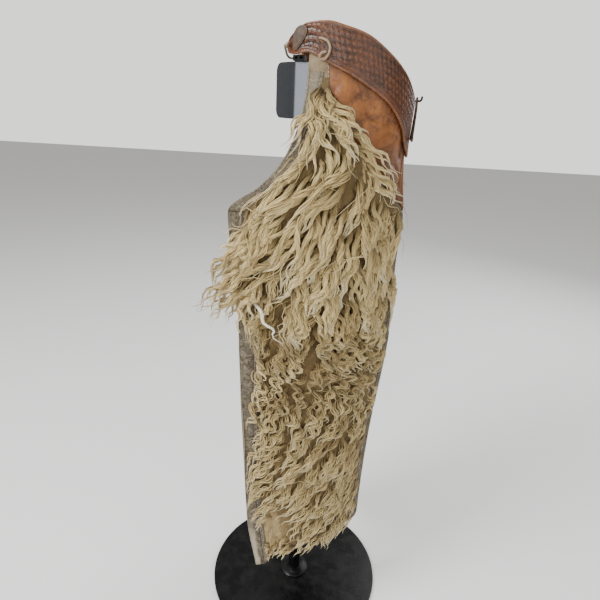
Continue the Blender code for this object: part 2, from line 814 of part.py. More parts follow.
def form_plan():
    """Half plan of the bent hip form, from the end of its wing round to its rear."""
    return (
        Vector((*FORM_WING, 0.0)),
        Vector((FORM_SIDE, FORM_BEND, 0.0)),
        Vector((FORM_SIDE, FORM_REAR_BEND, 0.0)),
        Vector((FORM_REAR_HALF, FORM_REAR, 0.0)),
    )


def build_form():
    """Sheet steel bent to a hip's shape, open in front, with rounded corners on its two wings."""
    half = form_plan()
    plan = [Vector((-p.x, p.y, 0.0)) for p in half] + list(reversed(half))
    corner = [(0.0, FORM_CORNER), (FORM_CORNER * 0.3, FORM_CORNER * 0.3), (FORM_CORNER, 0.0)]
    stations = []
    first = (plan[1] - plan[0]).normalized()
    for along, cut in corner:
        stations.append((plan[0] + first * along, cut))
    stations += [(place, 0.0) for place in plan[1:-1]]
    for along, cut in reversed(corner):
        stations.append((plan[-1] + (plan[-2] - plan[-1]).normalized() * along, cut))
    grids = ([], [])
    for index, (place, cut) in enumerate(stations):
        before = stations[max(index - 1, 0)][0]
        after = stations[min(index + 1, len(stations) - 1)][0]
        back = (place - before).normalized() if index else (after - place).normalized()
        ahead = (after - place).normalized() if index < len(stations) - 1 else back
        inner = Vector((back.y + ahead.y, -back.x - ahead.x, 0.0))
        reach = FORM_WALL * 2 / inner.length
        inward = inner.normalized() * reach
        for grid, shift in zip(grids, (0.0, 1.0)):
            spot = place + inward * shift
            heights = spread(FORM_LOW + cut, FORM_HIGH - cut, FORM_ROWS)
            grid.append([Vector((spot.x, spot.y, z)) for z in heights])
    return add_wall("hip_form", grids[0], grids[1], STEEL_COLOR, 1.0)


def build_stand():
    """Round base, pole, cross bar, bent hip form, two front brackets and the rear hook."""
    add_turned(
        "stand_base",
        (
            (BASE_RADIUS - BASE_EDGE, 0.0),
            (BASE_RADIUS, BASE_EDGE),
            (BASE_RADIUS, BASE_HEIGHT - BASE_EDGE),
            (BASE_RADIUS - BASE_EDGE, BASE_HEIGHT),
        ),
        TURNED_STEPS,
        BLACK_COLOR,
    )
    add_turned(
        "stand_hub",
        (
            (HUB_RADIUS, BASE_HEIGHT + SEAM),
            (HUB_RADIUS, BASE_HEIGHT + HUB_EDGE),
            (POLE_RADIUS + HUB_COLLAR, HUB_HEIGHT),
        ),
        POLE_STEPS,
        BLACK_COLOR,
    )
    add_turned(
        "stand_pole",
        (
            (POLE_RADIUS, HUB_HEIGHT + SEAM),
            (POLE_RADIUS, POLE_TOP - BASE_EDGE),
            (POLE_RADIUS - BASE_EDGE, POLE_TOP),
        ),
        POLE_STEPS,
        BLACK_COLOR,
    )
    inner_side = FORM_SIDE - FORM_WALL - SEAM
    for side, mirror in SIDES:
        ends = sorted((mirror * (POLE_RADIUS + SEAM), mirror * inner_side))
        add_box(
            "cross_bar_" + side,
            (ends[0], -BAR_HALF_DEPTH, BAR_HEIGHT - BAR_HALF_HEIGHT),
            (ends[1], BAR_HALF_DEPTH, BAR_HEIGHT + BAR_HALF_HEIGHT),
            BLACK_COLOR,
        )
        build_bracket(side, mirror)
    build_form()
    rear = FORM_REAR + SEAM
    route = [(0.0, rear + (HOOK_END - rear) * t, HOOK_HEIGHT) for t in (0.0, 0.5, 0.97)]
    route.append((0.0, HOOK_END, HOOK_HEIGHT + HOOK_RADIUS))
    route.append((0.0, HOOK_END + HOOK_LEAN, HOOK_HEIGHT + HOOK_TIP))
    add_wire("rear_hook", route, HOOK_RADIUS, BLACK_COLOR)


def build_bracket(side, mirror):
    """Small block on the form's upper edge, with two holes, on which the belt's front rests."""
    ends = sorted(mirror * x for x in BRACKET_X)
    block = add_box(
        "front_bracket_" + side,
        (ends[0], BRACKET_Y[0], FORM_HIGH + SEAM),
        (ends[1], BRACKET_Y[1], BRACKET_TOP),
        BLACK_COLOR,
    )
    middle = (FORM_HIGH + SEAM + BRACKET_TOP) / 2
    for step, y in enumerate(spread(BRACKET_Y[0] + HOLE_INSET, BRACKET_Y[1] - HOLE_INSET, 1)):
        cutter = bpy.data.objects.new("bracket_cut_%s_%d" % (side, step), cylinder_mesh())
        bpy.context.scene.collection.objects.link(cutter)
        cutter.location = (mirror * sum(BRACKET_X) / 2, y, middle)
        cutter.rotation_euler = (0.0, math.pi / 2, 0.0)
        cutter.hide_render = True
        cutter.display_type = "WIRE"
        cut = block.modifiers.new("hole_%d" % step, "BOOLEAN")
        cut.operation = "DIFFERENCE"
        cut.object = cutter


def cylinder_mesh():
    """Cutter for one hole of a bracket."""
    mesh = bpy.data.meshes.new("bracket_cut")
    shape = bmesh.new()
    bmesh.ops.create_cone(
        shape,
        cap_ends=True,
        segments=HOLE_STEPS,
        radius1=BRACKET_HOLE,
        radius2=BRACKET_HOLE,
        depth=HOLE_CUT,
    )
    shape.to_mesh(mesh)
    shape.free()
    return mesh


def build_laces():
    """Laces that join the belt's halves, over the hook behind and across the gap in front."""
    off = BELT_OUTER + SEAM + LACE_RADIUS * KNOT_SCALE
    held = [surface(z, BACK_LACE_DEG, off) for z in BACK_LACE_Z]
    over = HOOK_HEIGHT + HOOK_RADIUS + LACE_RADIUS + 2 * SEAM
    rear_y = max(point.y for point in held)
    free = [Vector((x, rear_y + out_y, over - below)) for x, out_y, below in BACK_LACE_FREE]
    add_lace("back_lace", [held[0], held[0].lerp(held[1], 0.3)] + free)
    held = [surface(FRONT_LACE_Z, degrees, off) for degrees in FRONT_LACE_DEG]
    add_lace("front_lace", held + [Vector(place) for place in FRONT_LACE_FREE])


def add_lace(name, half):
    """Lace whose left half ends on the plane between the belt's halves."""
    other = [Vector((-place.x, place.y, place.z)) for place in reversed(half[:-1])]
    add_wire(name, half + other, LACE_RADIUS, LACE_COLOR, True)


def clear_scene():
    """Empties the scene."""
    for obj in list(bpy.data.objects):
        bpy.data.objects.remove(obj)


def main():
    """Builds every piece."""
    clear_scene()
    build_stand()
    for side, mirror in SIDES:
        build_hide(side, mirror)
        build_borders(side, mirror)
        build_back(side, mirror)
        build_hip(side, mirror)
        build_belt(side, mirror)
        build_fur(side, mirror)
        build_spray(side, mirror)
        build_fan(side, mirror)
    build_laces()


main()
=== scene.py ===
"""Looks of woolly leather chaps that hang on a black display stand.

Metres, +Z up, the garment's front towards -Y and its left side at +X. Each leather panel is a thin
shell on the form of its solid, and the coat is made of twisted locks that follow the hide.
"""

import logging
import math
from collections.abc import Callable, Sequence
from dataclasses import dataclass, replace
from enum import Enum

import bpy
import numpy as np
from mathutils import Matrix, Vector


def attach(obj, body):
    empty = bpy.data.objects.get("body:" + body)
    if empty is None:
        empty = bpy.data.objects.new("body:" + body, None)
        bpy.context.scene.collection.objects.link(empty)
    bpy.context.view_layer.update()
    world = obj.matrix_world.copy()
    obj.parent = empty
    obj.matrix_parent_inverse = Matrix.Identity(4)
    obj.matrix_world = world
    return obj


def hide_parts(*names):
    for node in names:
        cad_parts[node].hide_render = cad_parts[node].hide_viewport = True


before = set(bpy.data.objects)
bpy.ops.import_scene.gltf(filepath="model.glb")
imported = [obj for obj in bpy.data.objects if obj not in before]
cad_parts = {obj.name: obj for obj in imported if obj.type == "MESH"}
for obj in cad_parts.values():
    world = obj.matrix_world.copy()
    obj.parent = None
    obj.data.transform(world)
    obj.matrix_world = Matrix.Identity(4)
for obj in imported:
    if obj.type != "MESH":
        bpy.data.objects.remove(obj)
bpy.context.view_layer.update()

LOG = logging.getLogger("chaps")
Table = Sequence[tuple[float, ...]]
Place = Callable[[np.ndarray, np.ndarray], np.ndarray]

# Plan of the left half at each height, as the solids have it
SECTIONS = (
    # z, front_x, front_y, rear_x, rear_y, crown, inner_crown, power
    (0.142, 0.122, -0.060, 0.020, 0.122, 0.026, 0.030, 2.2),
    (0.280, 0.124, -0.078, 0.020, 0.124, 0.028, 0.032, 2.2),
    (0.400, 0.125, -0.083, 0.020, 0.129, 0.030, 0.034, 2.2),
    (0.520, 0.126, -0.088, 0.020, 0.138, 0.031, 0.036, 2.2),
    (0.640, 0.126, -0.090, 0.020, 0.146, 0.033, 0.038, 2.2),
    (0.740, 0.129, -0.099, 0.020, 0.144, 0.035, 0.040, 2.2),
    (0.834, 0.130, -0.105, 0.019, 0.147, 0.037, 0.040, 2.1),
    (0.868, 0.121, -0.070, 0.015, 0.143, 0.040, 0.040, 1.8),
    (0.901, 0.106, -0.050, 0.012, 0.140, 0.044, 0.040, 1.5),
    (0.935, 0.088, -0.040, 0.010, 0.139, 0.048, 0.040, 1.3),
    (0.965, 0.074, -0.035, 0.008, 0.139, 0.052, 0.040, 1.1),
    (1.000, 0.064, -0.032, 0.007, 0.140, 0.055, 0.040, 1.0),
    (1.100, 0.058, -0.030, 0.007, 0.140, 0.056, 0.040, 1.0),
)
HIDE_EDGES = (
    # z, front_deg, rear_deg
    (0.142, 1.0, 179.0),
    (0.820, 1.0, 179.0),
    (0.834, 2.0, 166.0),
    (0.851, 9.0, 146.0),
    (0.868, 18.0, 130.0),
    (0.901, 28.0, 106.0),
    (0.935, 33.0, 88.0),
    (0.965, 36.0, 75.0),
    (1.000, 38.0, 62.0),
    (1.100, 41.0, 57.0),
)
HEM_LIFT = (
    # deg, lift
    (0.0, 0.000),
    (32.0, 0.004),
    (44.0, 0.026),
    (54.0, 0.046),
    (64.0, 0.038),
    (90.0, 0.050),
    (120.0, 0.060),
    (150.0, 0.061),
    (180.0, 0.074),
)
BELT_EDGES = (
    # deg, low, high
    (2.0, 1.0520, 1.0600),
    (8.0, 1.0470, 1.0650),
    (20.0, 1.0450, 1.0730),
    (38.0, 1.0470, 1.0830),
    (57.0, 1.0360, 1.0850),
    (73.0, 1.0240, 1.0800),
    (90.0, 1.0110, 1.0720),
    (113.0, 0.9900, 1.0510),
    (135.0, 0.9590, 1.0270),
    (155.0, 0.9280, 1.0020),
    (176.0, 0.9120, 0.9840),
)
FOLDS = (
    # deg, z, half_deg, half_z, depth
    (150.0, 0.930, 16.0, 0.030, -0.0050),
    (72.0, 1.000, 9.0, 0.030, 0.0035),
    (98.0, 0.975, 10.0, 0.040, -0.0030),
    (128.0, 0.880, 12.0, 0.028, 0.0030),
    (24.0, 0.610, 12.0, 0.050, 0.0040),
    (20.0, 0.450, 10.0, 0.070, -0.0030),
    (160.0, 0.560, 14.0, 0.060, 0.0040),
    (26.0, 0.230, 14.0, 0.050, 0.0030),
)
INNER_FOLDS = (
    # deg, z, half_deg, half_z, depth
    (60.0, 0.700, 14.0, 0.110, 0.0060),
    (112.0, 0.640, 16.0, 0.130, -0.0050),
    (76.0, 0.420, 15.0, 0.120, -0.0060),
    (130.0, 0.330, 14.0, 0.110, 0.0050),
    (48.0, 0.260, 13.0, 0.090, 0.0040),
)
EDGING_WIDTHS = (
    # row, columns
    (20.0, 3.0),
    (21.0, 2.4),
    (22.0, 2.2),
    (24.0, 2.7),
    (26.0, 4.0),
    (28.0, 6.5),
    (30.0, 11.0),
    (32.0, 11.0),
)
BACK_HEM = ((0.0, 0.146), (45.0, 0.170), (110.0, 0.196), (180.0, 0.214))
BACK_TOP = ((0.0, 0.832), (50.0, 0.800), (120.0, 0.792), (180.0, 0.824))
BACK_MARGIN = (
    # z, width
    (0.200, 0.0015),
    (0.495, 0.0015),
    (0.520, 0.0060),
    (0.560, 0.0090),
    (0.640, 0.0120),
    (0.700, 0.0100),
    (0.730, 0.0030),
    (0.830, 0.0015),
)

# Places where the coat has worn down to the skin
WORN = (
    # deg, z, half_deg, half_z, share
    (50.0, 0.235, 13.0, 0.050, 0.95),
    (122.0, 0.530, 14.0, 0.024, 0.60),
    (86.0, 0.560, 12.0, 0.022, 0.60),
    (44.0, 0.640, 8.0, 0.040, 0.60),
)
COAT = (
    # z, depth, length, front_lean, middle_lean, rear_lean, wave_deg, wave_length, curl, body, clump
    (0.142, 0.007, 0.040, 22.0, 22.0, 14.0, 20.0, 0.034, 0.0008, 0.8, 0.35),
    (0.220, 0.010, 0.056, 36.0, 32.0, 20.0, 24.0, 0.034, 0.0010, 0.8, 0.40),
    (0.320, 0.012, 0.070, 44.0, 36.0, 20.0, 26.0, 0.035, 0.0012, 0.8, 0.42),
    (0.420, 0.013, 0.076, 38.0, 28.0, 14.0, 30.0, 0.040, 0.0016, 0.9, 0.42),
    (0.500, 0.014, 0.074, 26.0, 14.0, 6.0, 50.0, 0.038, 0.0028, 1.0, 0.36),
    (0.580, 0.016, 0.078, 14.0, 2.0, -4.0, 78.0, 0.036, 0.0046, 1.1, 0.30),
    (0.650, 0.018, 0.090, 24.0, 4.0, -4.0, 50.0, 0.036, 0.0034, 1.5, 0.60),
    (0.720, 0.021, 0.118, 40.0, 10.0, 2.0, 30.0, 0.050, 0.0020, 1.8, 0.80),
    (0.800, 0.023, 0.136, 44.0, 12.0, 0.0, 26.0, 0.056, 0.0016, 2.0, 0.85),
    (0.870, 0.021, 0.126, 26.0, 8.0, -20.0, 24.0, 0.056, 0.0016, 2.0, 0.85),
    (0.930, 0.019, 0.104, 14.0, 2.0, -30.0, 26.0, 0.050, 0.0020, 1.8, 0.80),
    (0.985, 0.016, 0.080, 6.0, -6.0, -24.0, 34.0, 0.044, 0.0028, 1.8, 0.70),
    (1.050, 0.008, 0.055, 4.0, -4.0, -10.0, 40.0, 0.034, 0.0030, 1.7, 0.60),
)

# Measures of the solids that the shells keep
HEM_TIP = 0.142
CROTCH = 0.834
HIDE_TOP = 1.062
LEG_ROWS = 20
HIDE_ROWS = 32
HIDE_COLUMNS = 14
HEM_FADE_ROWS = 7.0
HIDE_INNER = 0.00015
HIDE_OUTER = 0.00235
BORDER_INNER = 0.00265
BORDER_OUTER = 0.00425
BELT_INNER = 0.00315
BELT_OUTER = 0.00715
BACK_OUTER = 0.00215
EDGE_DEG = 1.0
END_DEG = 178.8
INSEAM_COLUMNS = 3.0
OUTSEAM_COLUMNS = 2.0
FULL_TURN = 2 * math.pi


class Side(Enum):
    """Which leg, and the sign that its X values take."""

    LEFT = ("L", 1.0)
    RIGHT = ("R", -1.0)

    @property
    def letter(self) -> str:
        """Letter that ends the names of this side's pieces."""
        return self.value[0]

    @property
    def sign(self) -> float:
        """Sign of the side's X values."""
        return self.value[1]


class Curve:
    """Smooth line through one column of a table, flat at its turning points."""

    def __init__(self, rows: Table, column: int = 1) -> None:
        """Works out the slopes.

        Args:
            rows: The table, whose first column is the key.
            column: The column that holds the values.
        """
        self.x = np.array([row[0] for row in rows])
        self.y = np.array([row[column] for row in rows])
        step = np.diff(self.y) / np.diff(self.x)
        before, after = step[:-1], step[1:]
        same = before * after > 0
        total = np.where(same, before + after, 1.0)
        inner = np.where(same, 2 * before * after / total, 0.0)
        self.slope = np.concatenate([step[:1], inner, step[-1:]])

    def __call__(self, key: np.ndarray | float) -> np.ndarray:
        """Reads the curve.

        Args:
            key: Places along the first column.

        Returns:
            The values there.
        """
        key = np.clip(key, self.x[0], self.x[-1])
        row = np.clip(np.searchsorted(self.x, key, side="right") - 1, 0, len(self.x) - 2)
        width = self.x[row + 1] - self.x[row]
        t = (key - self.x[row]) / width
        first = (2 * t**3 - 3 * t**2 + 1) * self.y[row] + (3 * t**2 - 2 * t**3) * self.y[row + 1]
        bend = (t**3 - 2 * t**2 + t) * self.slope[row] + (t**3 - t**2) * self.slope[row + 1]
        return first + width * bend


def unit(vectors: np.ndarray) -> np.ndarray:
    """Vectors of length one in the same directions."""
    length = np.linalg.norm(vectors, axis=-1, keepdims=True)
    return vectors / np.maximum(length, 1e-12)


def smooth(edge: float, other: float, value: np.ndarray) -> np.ndarray:
    """Soft step from 0 at edge to 1 at other."""
    t = np.clip((value - edge) / (other - edge), 0.0, 1.0)
    return t * t * (3 - 2 * t)


def wander(z: np.ndarray, degrees: np.ndarray, pitch: float, phase: float) -> np.ndarray:
    """Uneven value from -1 to 1 that changes softly over a leg.

    Args:
        z: Heights in metres.
        degrees: Angles round the leg's plan.
        pitch: Rough size of one lump in metres.
        phase: Shift that makes one use differ from another.

    Returns:
        One value for each place.
    """
    u = z * FULL_TURN / pitch
    v = degrees * FULL_TURN * 0.0021 / pitch
    first = np.sin(u * 0.83 + 1.7 * np.sin(v * 0.61 + phase) + phase)
    second = np.sin(v * 0.97 + 1.3 * np.sin(u * 0.47 - phase) + 2.3 * phase)
    third = np.sin(u * 1.93 - v * 1.41 + 3.1 * phase)
    return (first + second + 0.5 * third) / 2.5


class LegForm:
    """Form of one leg and of the belt above it, read by height and angle. It is the left one."""

    def __init__(self) -> None:
        """Sets up a curve for each column of the plan's table."""
        self.plan = [Curve(SECTIONS, column) for column in range(1, 8)]
        self.front_edge = Curve(HIDE_EDGES, 1)
        self.rear_edge = Curve(HIDE_EDGES, 2)
        self.hem_lift = Curve(HEM_LIFT)
        self.belt_low = Curve(BELT_EDGES, 1)
        self.belt_high = Curve(BELT_EDGES, 2)
        self.edging = Curve(EDGING_WIDTHS)

    def base(self, z: np.ndarray, degrees: np.ndarray, face: int = 1) -> np.ndarray:
        """Points of the middle surface.

        Args:
            z: Heights.
            degrees: Angles, 0 at the front end and 180 at the rear end.
            face: 1 for the outer side, -1 for the inner.

        Returns:
            Array of points, with a last axis of three.
        """
        front_x, front_y, rear_x, rear_y, crown, inner_crown, power = [read(z) for read in self.plan]
        chord_x, chord_y = rear_x - front_x, rear_y - front_y
        length = np.hypot(chord_x, chord_y)
        angle = np.radians(np.clip(degrees, 0.0, 180.0))
        share = (1 - np.cos(angle)) / 2
        bow = (crown if face > 0 else inner_crown) * np.maximum(np.sin(angle), 0.0) ** power
        for centre, height, half_degrees, half_height, depth in FOLDS if face > 0 else INNER_FOLDS:
            away = ((degrees - centre) / half_degrees) ** 2 + ((z - height) / half_height) ** 2
            bow = bow + depth * np.exp(-away)
        x = front_x + chord_x * share + chord_y / length * bow * face
        y = front_y + chord_y * share - chord_x / length * bow * face
        return np.stack([x, y, z + 0.0 * x], axis=-1)

    def normal(self, z: np.ndarray, degrees: np.ndarray, face: int = 1) -> np.ndarray:
        """Unit normals that point out of the leg, at the same places as base."""
        inside = np.clip(degrees, 1.5, 178.5)
        round_it = self.base(z, inside + 1.0, face) - self.base(z, inside - 1.0, face)
        up_it = self.base(z + 0.004, inside, face) - self.base(z - 0.004, inside, face)
        return unit(np.cross(round_it, up_it) * face)

    def at(self, z: np.ndarray, degrees: np.ndarray, off: np.ndarray | float, face: int = 1) -> np.ndarray:
        """Points at a distance outside the middle surface."""
        lift = np.asarray(off)[..., None] if np.ndim(off) else off
        return self.base(z, degrees, face) + self.normal(z, degrees, face) * lift

    def hide_place(self, row: np.ndarray, column: np.ndarray) -> tuple[np.ndarray, np.ndarray]:
        """Height and angle at rows and columns of the hide.

        Args:
            row: 0 at the hem, 20 at the crotch, 32 under the belt.
            column: 0 at the front edge, 14 at the rear edge.

        Returns:
            Heights and angles.
        """
        leg = HEM_TIP + (CROTCH - HEM_TIP) * row / LEG_ROWS
        above = CROTCH + (HIDE_TOP - CROTCH) * (row - LEG_ROWS) / (HIDE_ROWS - LEG_ROWS)
        flat = np.where(row <= LEG_ROWS, leg, above)
        front = self.front_edge(flat)
        degrees = front + (self.rear_edge(flat) - front) * column / HIDE_COLUMNS
        fade = np.maximum(0.0, 1.0 - row / HEM_FADE_ROWS)
        return flat + self.hem_lift(degrees) * fade, degrees

    def seam_height(self, degrees: np.ndarray) -> np.ndarray:
        """Height of the hide's slanting rear edge at angles of the plan."""
        low = np.full_like(degrees, CROTCH - 0.014)
        high = np.full_like(degrees, HIDE_TOP)
        for _ in range(24):
            middle = (low + high) / 2
            above = self.rear_edge(middle) > degrees
            low, high = np.where(above, middle, low), np.where(above, high, middle)
        return low

    def beyond(self, z: np.ndarray, share: np.ndarray, off: np.ndarray) -> tuple[np.ndarray, np.ndarray]:
        """Points by their share of the chord, carried straight on past both ends.

        Args:
            z: Heights.
            share: 0 at the front end and 1 at the rear end, and less or more past them.
            off: Distances outside the surface.

        Returns:
            The points and the unit normals there.
        """
        held = np.clip(share, 0.002, 0.998)
        degrees = np.degrees(np.arccos(1 - 2 * held))
        front_x, front_y, rear_x, rear_y = [read(z) for read in self.plan[:4]]
        chord = np.stack([rear_x - front_x, rear_y - front_y, 0.0 * z], axis=-1)
        normal = self.normal(z, degrees)
        points = self.base(z, degrees) + normal * off[..., None] + chord * (share - held)[..., None]
        return points, normal


FORM = LegForm()


def make_mesh(
    name: str, points: np.ndarray, faces: np.ndarray, sign: float = 1.0, values: dict[str, np.ndarray] | None = None
) -> bpy.types.Object:
    """Object from arrays, mirrored for the right side.

    Args:
        name: Name of the piece.
        points: Array of points.
        faces: Array of faces, all with the same count of corners.
        sign: Sign that X takes.
        values: One number for each point, by the name of its attribute.

    Returns:
        The object, smooth shaded.
    """
    placed = points.reshape(-1, 3) * np.array([sign, 1.0, 1.0])
    corners = faces if sign > 0 else faces[:, ::-1]
    mesh = bpy.data.meshes.new(name)
    mesh.vertices.add(len(placed))
    mesh.vertices.foreach_set("co", placed.astype(np.float32).ravel())
    mesh.loops.add(corners.size)
    mesh.loops.foreach_set("vertex_index", corners.astype(np.int32).ravel())
    mesh.polygons.add(len(corners))
    count = corners.shape[1]
    mesh.polygons.foreach_set("loop_start", np.arange(0, corners.size, count, dtype=np.int32))
    mesh.update(calc_edges=True)
    for key, numbers in (values or {}).items():
        layer = mesh.attributes.new(key, "FLOAT", "POINT")
        layer.data.foreach_set("value", np.asarray(numbers, np.float32).ravel())
    mesh.shade_smooth()
    obj = bpy.data.objects.new(name, mesh)
    bpy.context.scene.collection.objects.link(obj)
    return obj


def shell_faces(rows: int, columns: int) -> np.ndarray:
    """Four-cornered faces of a closed wall whose outer grid comes first and inner grid second."""
    index = np.arange(rows * columns).reshape(rows, columns)
    a, b, c, d = index[:-1, :-1], index[:-1, 1:], index[1:, 1:], index[1:, :-1]
    second = rows * columns
    outer = np.stack([a, b, c, d], -1).reshape(-1, 4)
    inner = np.stack([a, d, c, b], -1).reshape(-1, 4) + second
    rim = np.concatenate([index[0, ::-1], index[1:, 0], index[-1, 1:], index[-2:0:-1, -1]])
    ahead = np.roll(rim, -1)
    edge = np.stack([rim, ahead, ahead + second, rim + second], -1)
    return np.concatenate([outer, inner, edge])


def make_shell(
    name: str, outer: np.ndarray, inner: np.ndarray, sign: float, values: dict[str, np.ndarray] | None = None
) -> bpy.types.Object:
    """Closed thin wall between two grids of points whose rows run up and columns run to the rear."""
    rows, columns = outer.shape[:2]
    points = np.concatenate([outer.reshape(-1, 3), inner.reshape(-1, 3)])
    doubled = {key: np.tile(np.asarray(number).ravel(), 2) for key, number in (values or {}).items()}
    return make_mesh(name, points, shell_faces(rows, columns), sign, doubled)


def cut_size(grid: np.ndarray) -> tuple[tuple[float, float], float]:
    """Size that a panel was cut to.

    Args:
        grid: The panel's points, rows by columns.

    Returns:
        Its greatest width and length along its surface, and its flat area.
    """
    across = np.linalg.norm(np.diff(grid, axis=1), axis=-1).sum(axis=1).max()
    along = np.linalg.norm(np.diff(grid, axis=0), axis=-1).sum(axis=0).max()
    one = np.cross(grid[1:, :-1] - grid[:-1, :-1], grid[:-1, 1:] - grid[:-1, :-1])
    two = np.cross(grid[1:, 1:] - grid[1:, :-1], grid[1:, 1:] - grid[:-1, 1:])
    area = (np.linalg.norm(one, axis=-1).sum() + np.linalg.norm(two, axis=-1).sum()) / 2
    return (float(across), float(along)), float(min(area, across * along))


def finish_piece(obj: bpy.types.Object, material: bpy.types.Material, slot: str, *nodes: str) -> None:
    """Gives a piece its material and its body, and hides the nodes that it stands for."""
    obj.data.materials.append(material)
    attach(obj, "root")
    if nodes:
        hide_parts(*nodes)
    LOG.info("%s: %d faces", obj.name, len(obj.data.polygons))


class Tree:
    """Short way to make and join the nodes of one tree."""

    def __init__(self, tree: bpy.types.NodeTree) -> None:
        """Takes the tree to work on."""
        self.tree = tree

    def add(self, kind: str, inputs: dict[str | int, object] | None = None, **settings: object) -> bpy.types.Node:
        """Adds a node.

        Args:
            kind: Blender's name of the node type, without ShaderNode.
            inputs: Value, or output socket to join, for each input by name or number.
            settings: Properties of the node.

        Returns:
            The node.
        """
        node = self.tree.nodes.new("ShaderNode" + kind)
        for key, value in settings.items():
            setattr(node, key, value)
        for key, value in (inputs or {}).items():
            if isinstance(value, bpy.types.NodeSocket):
                self.tree.links.new(value, node.inputs[key])
            else:
                node.inputs[key].default_value = value
        return node

    def math(self, operation: str, first: object, second: object = 0.0, clamp: bool = False) -> bpy.types.NodeSocket:
        """Output of a Math node."""
        node = self.add("Math", {0: first, 1: second}, operation=operation, use_clamp=clamp)
        return node.outputs[0]

    def mix(self, share: object, first: object, second: object, blend: str = "MIX") -> bpy.types.NodeSocket:
        """Output of a Mix node for colours."""
        node = self.add("Mix", {0: share, 6: first, 7: second}, data_type="RGBA", blend_type=blend)
        return node.outputs[2]

    def span(self, value: object, low: float, high: float, first: float = 0.0, last: float = 1.0) -> bpy.types.NodeSocket:
        """Value carried from one range to another and held there."""
        inputs = {0: value, 1: low, 2: high, 3: first, 4: last}
        return self.add("MapRange", inputs, interpolation_type="SMOOTHSTEP").outputs[0]

    def place(self) -> bpy.types.NodeSocket:
        """Place on the part in metres."""
        return self.add("TexCoord").outputs["Object"]


def new_group(name: str, inputs: dict[str, float], outputs: dict[str, str]) -> tuple[Tree, bpy.types.Node, bpy.types.Node]:
    """Empty shader node group with named sockets.

    Args:
        name: Name of the group.
        inputs: Default of each number that goes in.
        outputs: Kind of each socket that comes out, Float or Color.

    Returns:
        The group's tree, and its input and output nodes.
    """
    group = bpy.data.node_groups.new(name, "ShaderNodeTree")
    for key, value in inputs.items():
        socket = group.interface.new_socket(key, in_out="INPUT", socket_type="NodeSocketFloat")
        socket.default_value = value
    for key, kind in outputs.items():
        group.interface.new_socket(key, in_out="OUTPUT", socket_type="NodeSocket" + kind)
    return Tree(group), group.nodes.new("NodeGroupInput"), group.nodes.new("NodeGroupOutput")


def grain_group() -> bpy.types.NodeTree:
    """Leather grain: fine pebbles, crossed by short creases."""
    tree, source, sink = new_group("Grain", {"Size": 900.0, "Creases": 0.5}, {"Height": "Float", "Tone": "Float"})
    place = tree.place()
    pebbles = tree.add("TexVoronoi", {"Vector": place, "Scale": source.outputs["Size"]}, feature="F1")
    coarse = tree.math("MULTIPLY", source.outputs["Size"], 0.16)
    veins = tree.add("TexNoise", {"Vector": place, "Scale": coarse, "Detail": 6.0, "Distortion": 1.4})
    ridge = tree.math("ABSOLUTE", tree.math("SUBTRACT", veins.outputs[0], 0.5))
    crease = tree.math("MULTIPLY", tree.span(ridge, 0.0, 0.07, 1.0, 0.0), source.outputs["Creases"])
    height = tree.math("SUBTRACT", tree.math("MULTIPLY", pebbles.outputs["Distance"], 0.6), crease)
    tree.tree.links.new(height, sink.inputs["Height"])
    tree.tree.links.new(veins.outputs[0], sink.inputs["Tone"])
    return tree.tree


def soil_group() -> bpy.types.NodeTree:
    """Stains and scuffs: wide blotches, and small marks where the surface is rubbed."""
    tree, source, sink = new_group("Soil", {"Size": 24.0, "Marks": 160.0}, {"Blotch": "Float", "Scuff": "Float"})
    place = tree.place()
    wide = tree.add("TexNoise", {"Vector": place, "Scale": source.outputs["Size"], "Detail": 5.0, "Roughness": 0.6})
    small = tree.add("TexNoise", {"Vector": place, "Scale": source.outputs["Marks"], "Detail": 4.0, "Distortion": 0.6})
    tree.tree.links.new(tree.span(wide.outputs[0], 0.36, 0.66), sink.inputs["Blotch"])
    tree.tree.links.new(tree.span(small.outputs[0], 0.56, 0.72), sink.inputs["Scuff"])
    return tree.tree


def dust_group() -> bpy.types.NodeTree:
    """Dust that lies on what faces up, in uneven patches."""
    tree, source, sink = new_group("Dust", {"Amount": 0.5, "Size": 60.0}, {"Mask": "Float"})
    up = tree.add("SeparateXYZ", {0: tree.add("NewGeometry").outputs["Normal"]}).outputs[2]
    patches = tree.add("TexNoise", {"Vector": tree.place(), "Scale": source.outputs["Size"], "Detail": 7.0})
    mask = tree.math("MULTIPLY", tree.span(up, 0.2, 0.95), tree.span(patches.outputs[0], 0.35, 0.75))
    tree.tree.links.new(tree.math("MULTIPLY", mask, source.outputs["Amount"]), sink.inputs["Mask"])
    return tree.tree


GRAIN = grain_group()
SOIL = soil_group()
DUST = dust_group()
Color = tuple[float, float, float]


def rgba(color: Color) -> tuple[float, float, float, float]:
    """Colour with its alpha."""
    return (*color, 1.0)


def new_material(name: str) -> tuple[bpy.types.Material, Tree, bpy.types.Node]:
    """Material with its tree and its Principled shader."""
    material = bpy.data.materials.new(name)
    material.use_nodes = True
    return material, Tree(material.node_tree), material.node_tree.nodes["Principled BSDF"]


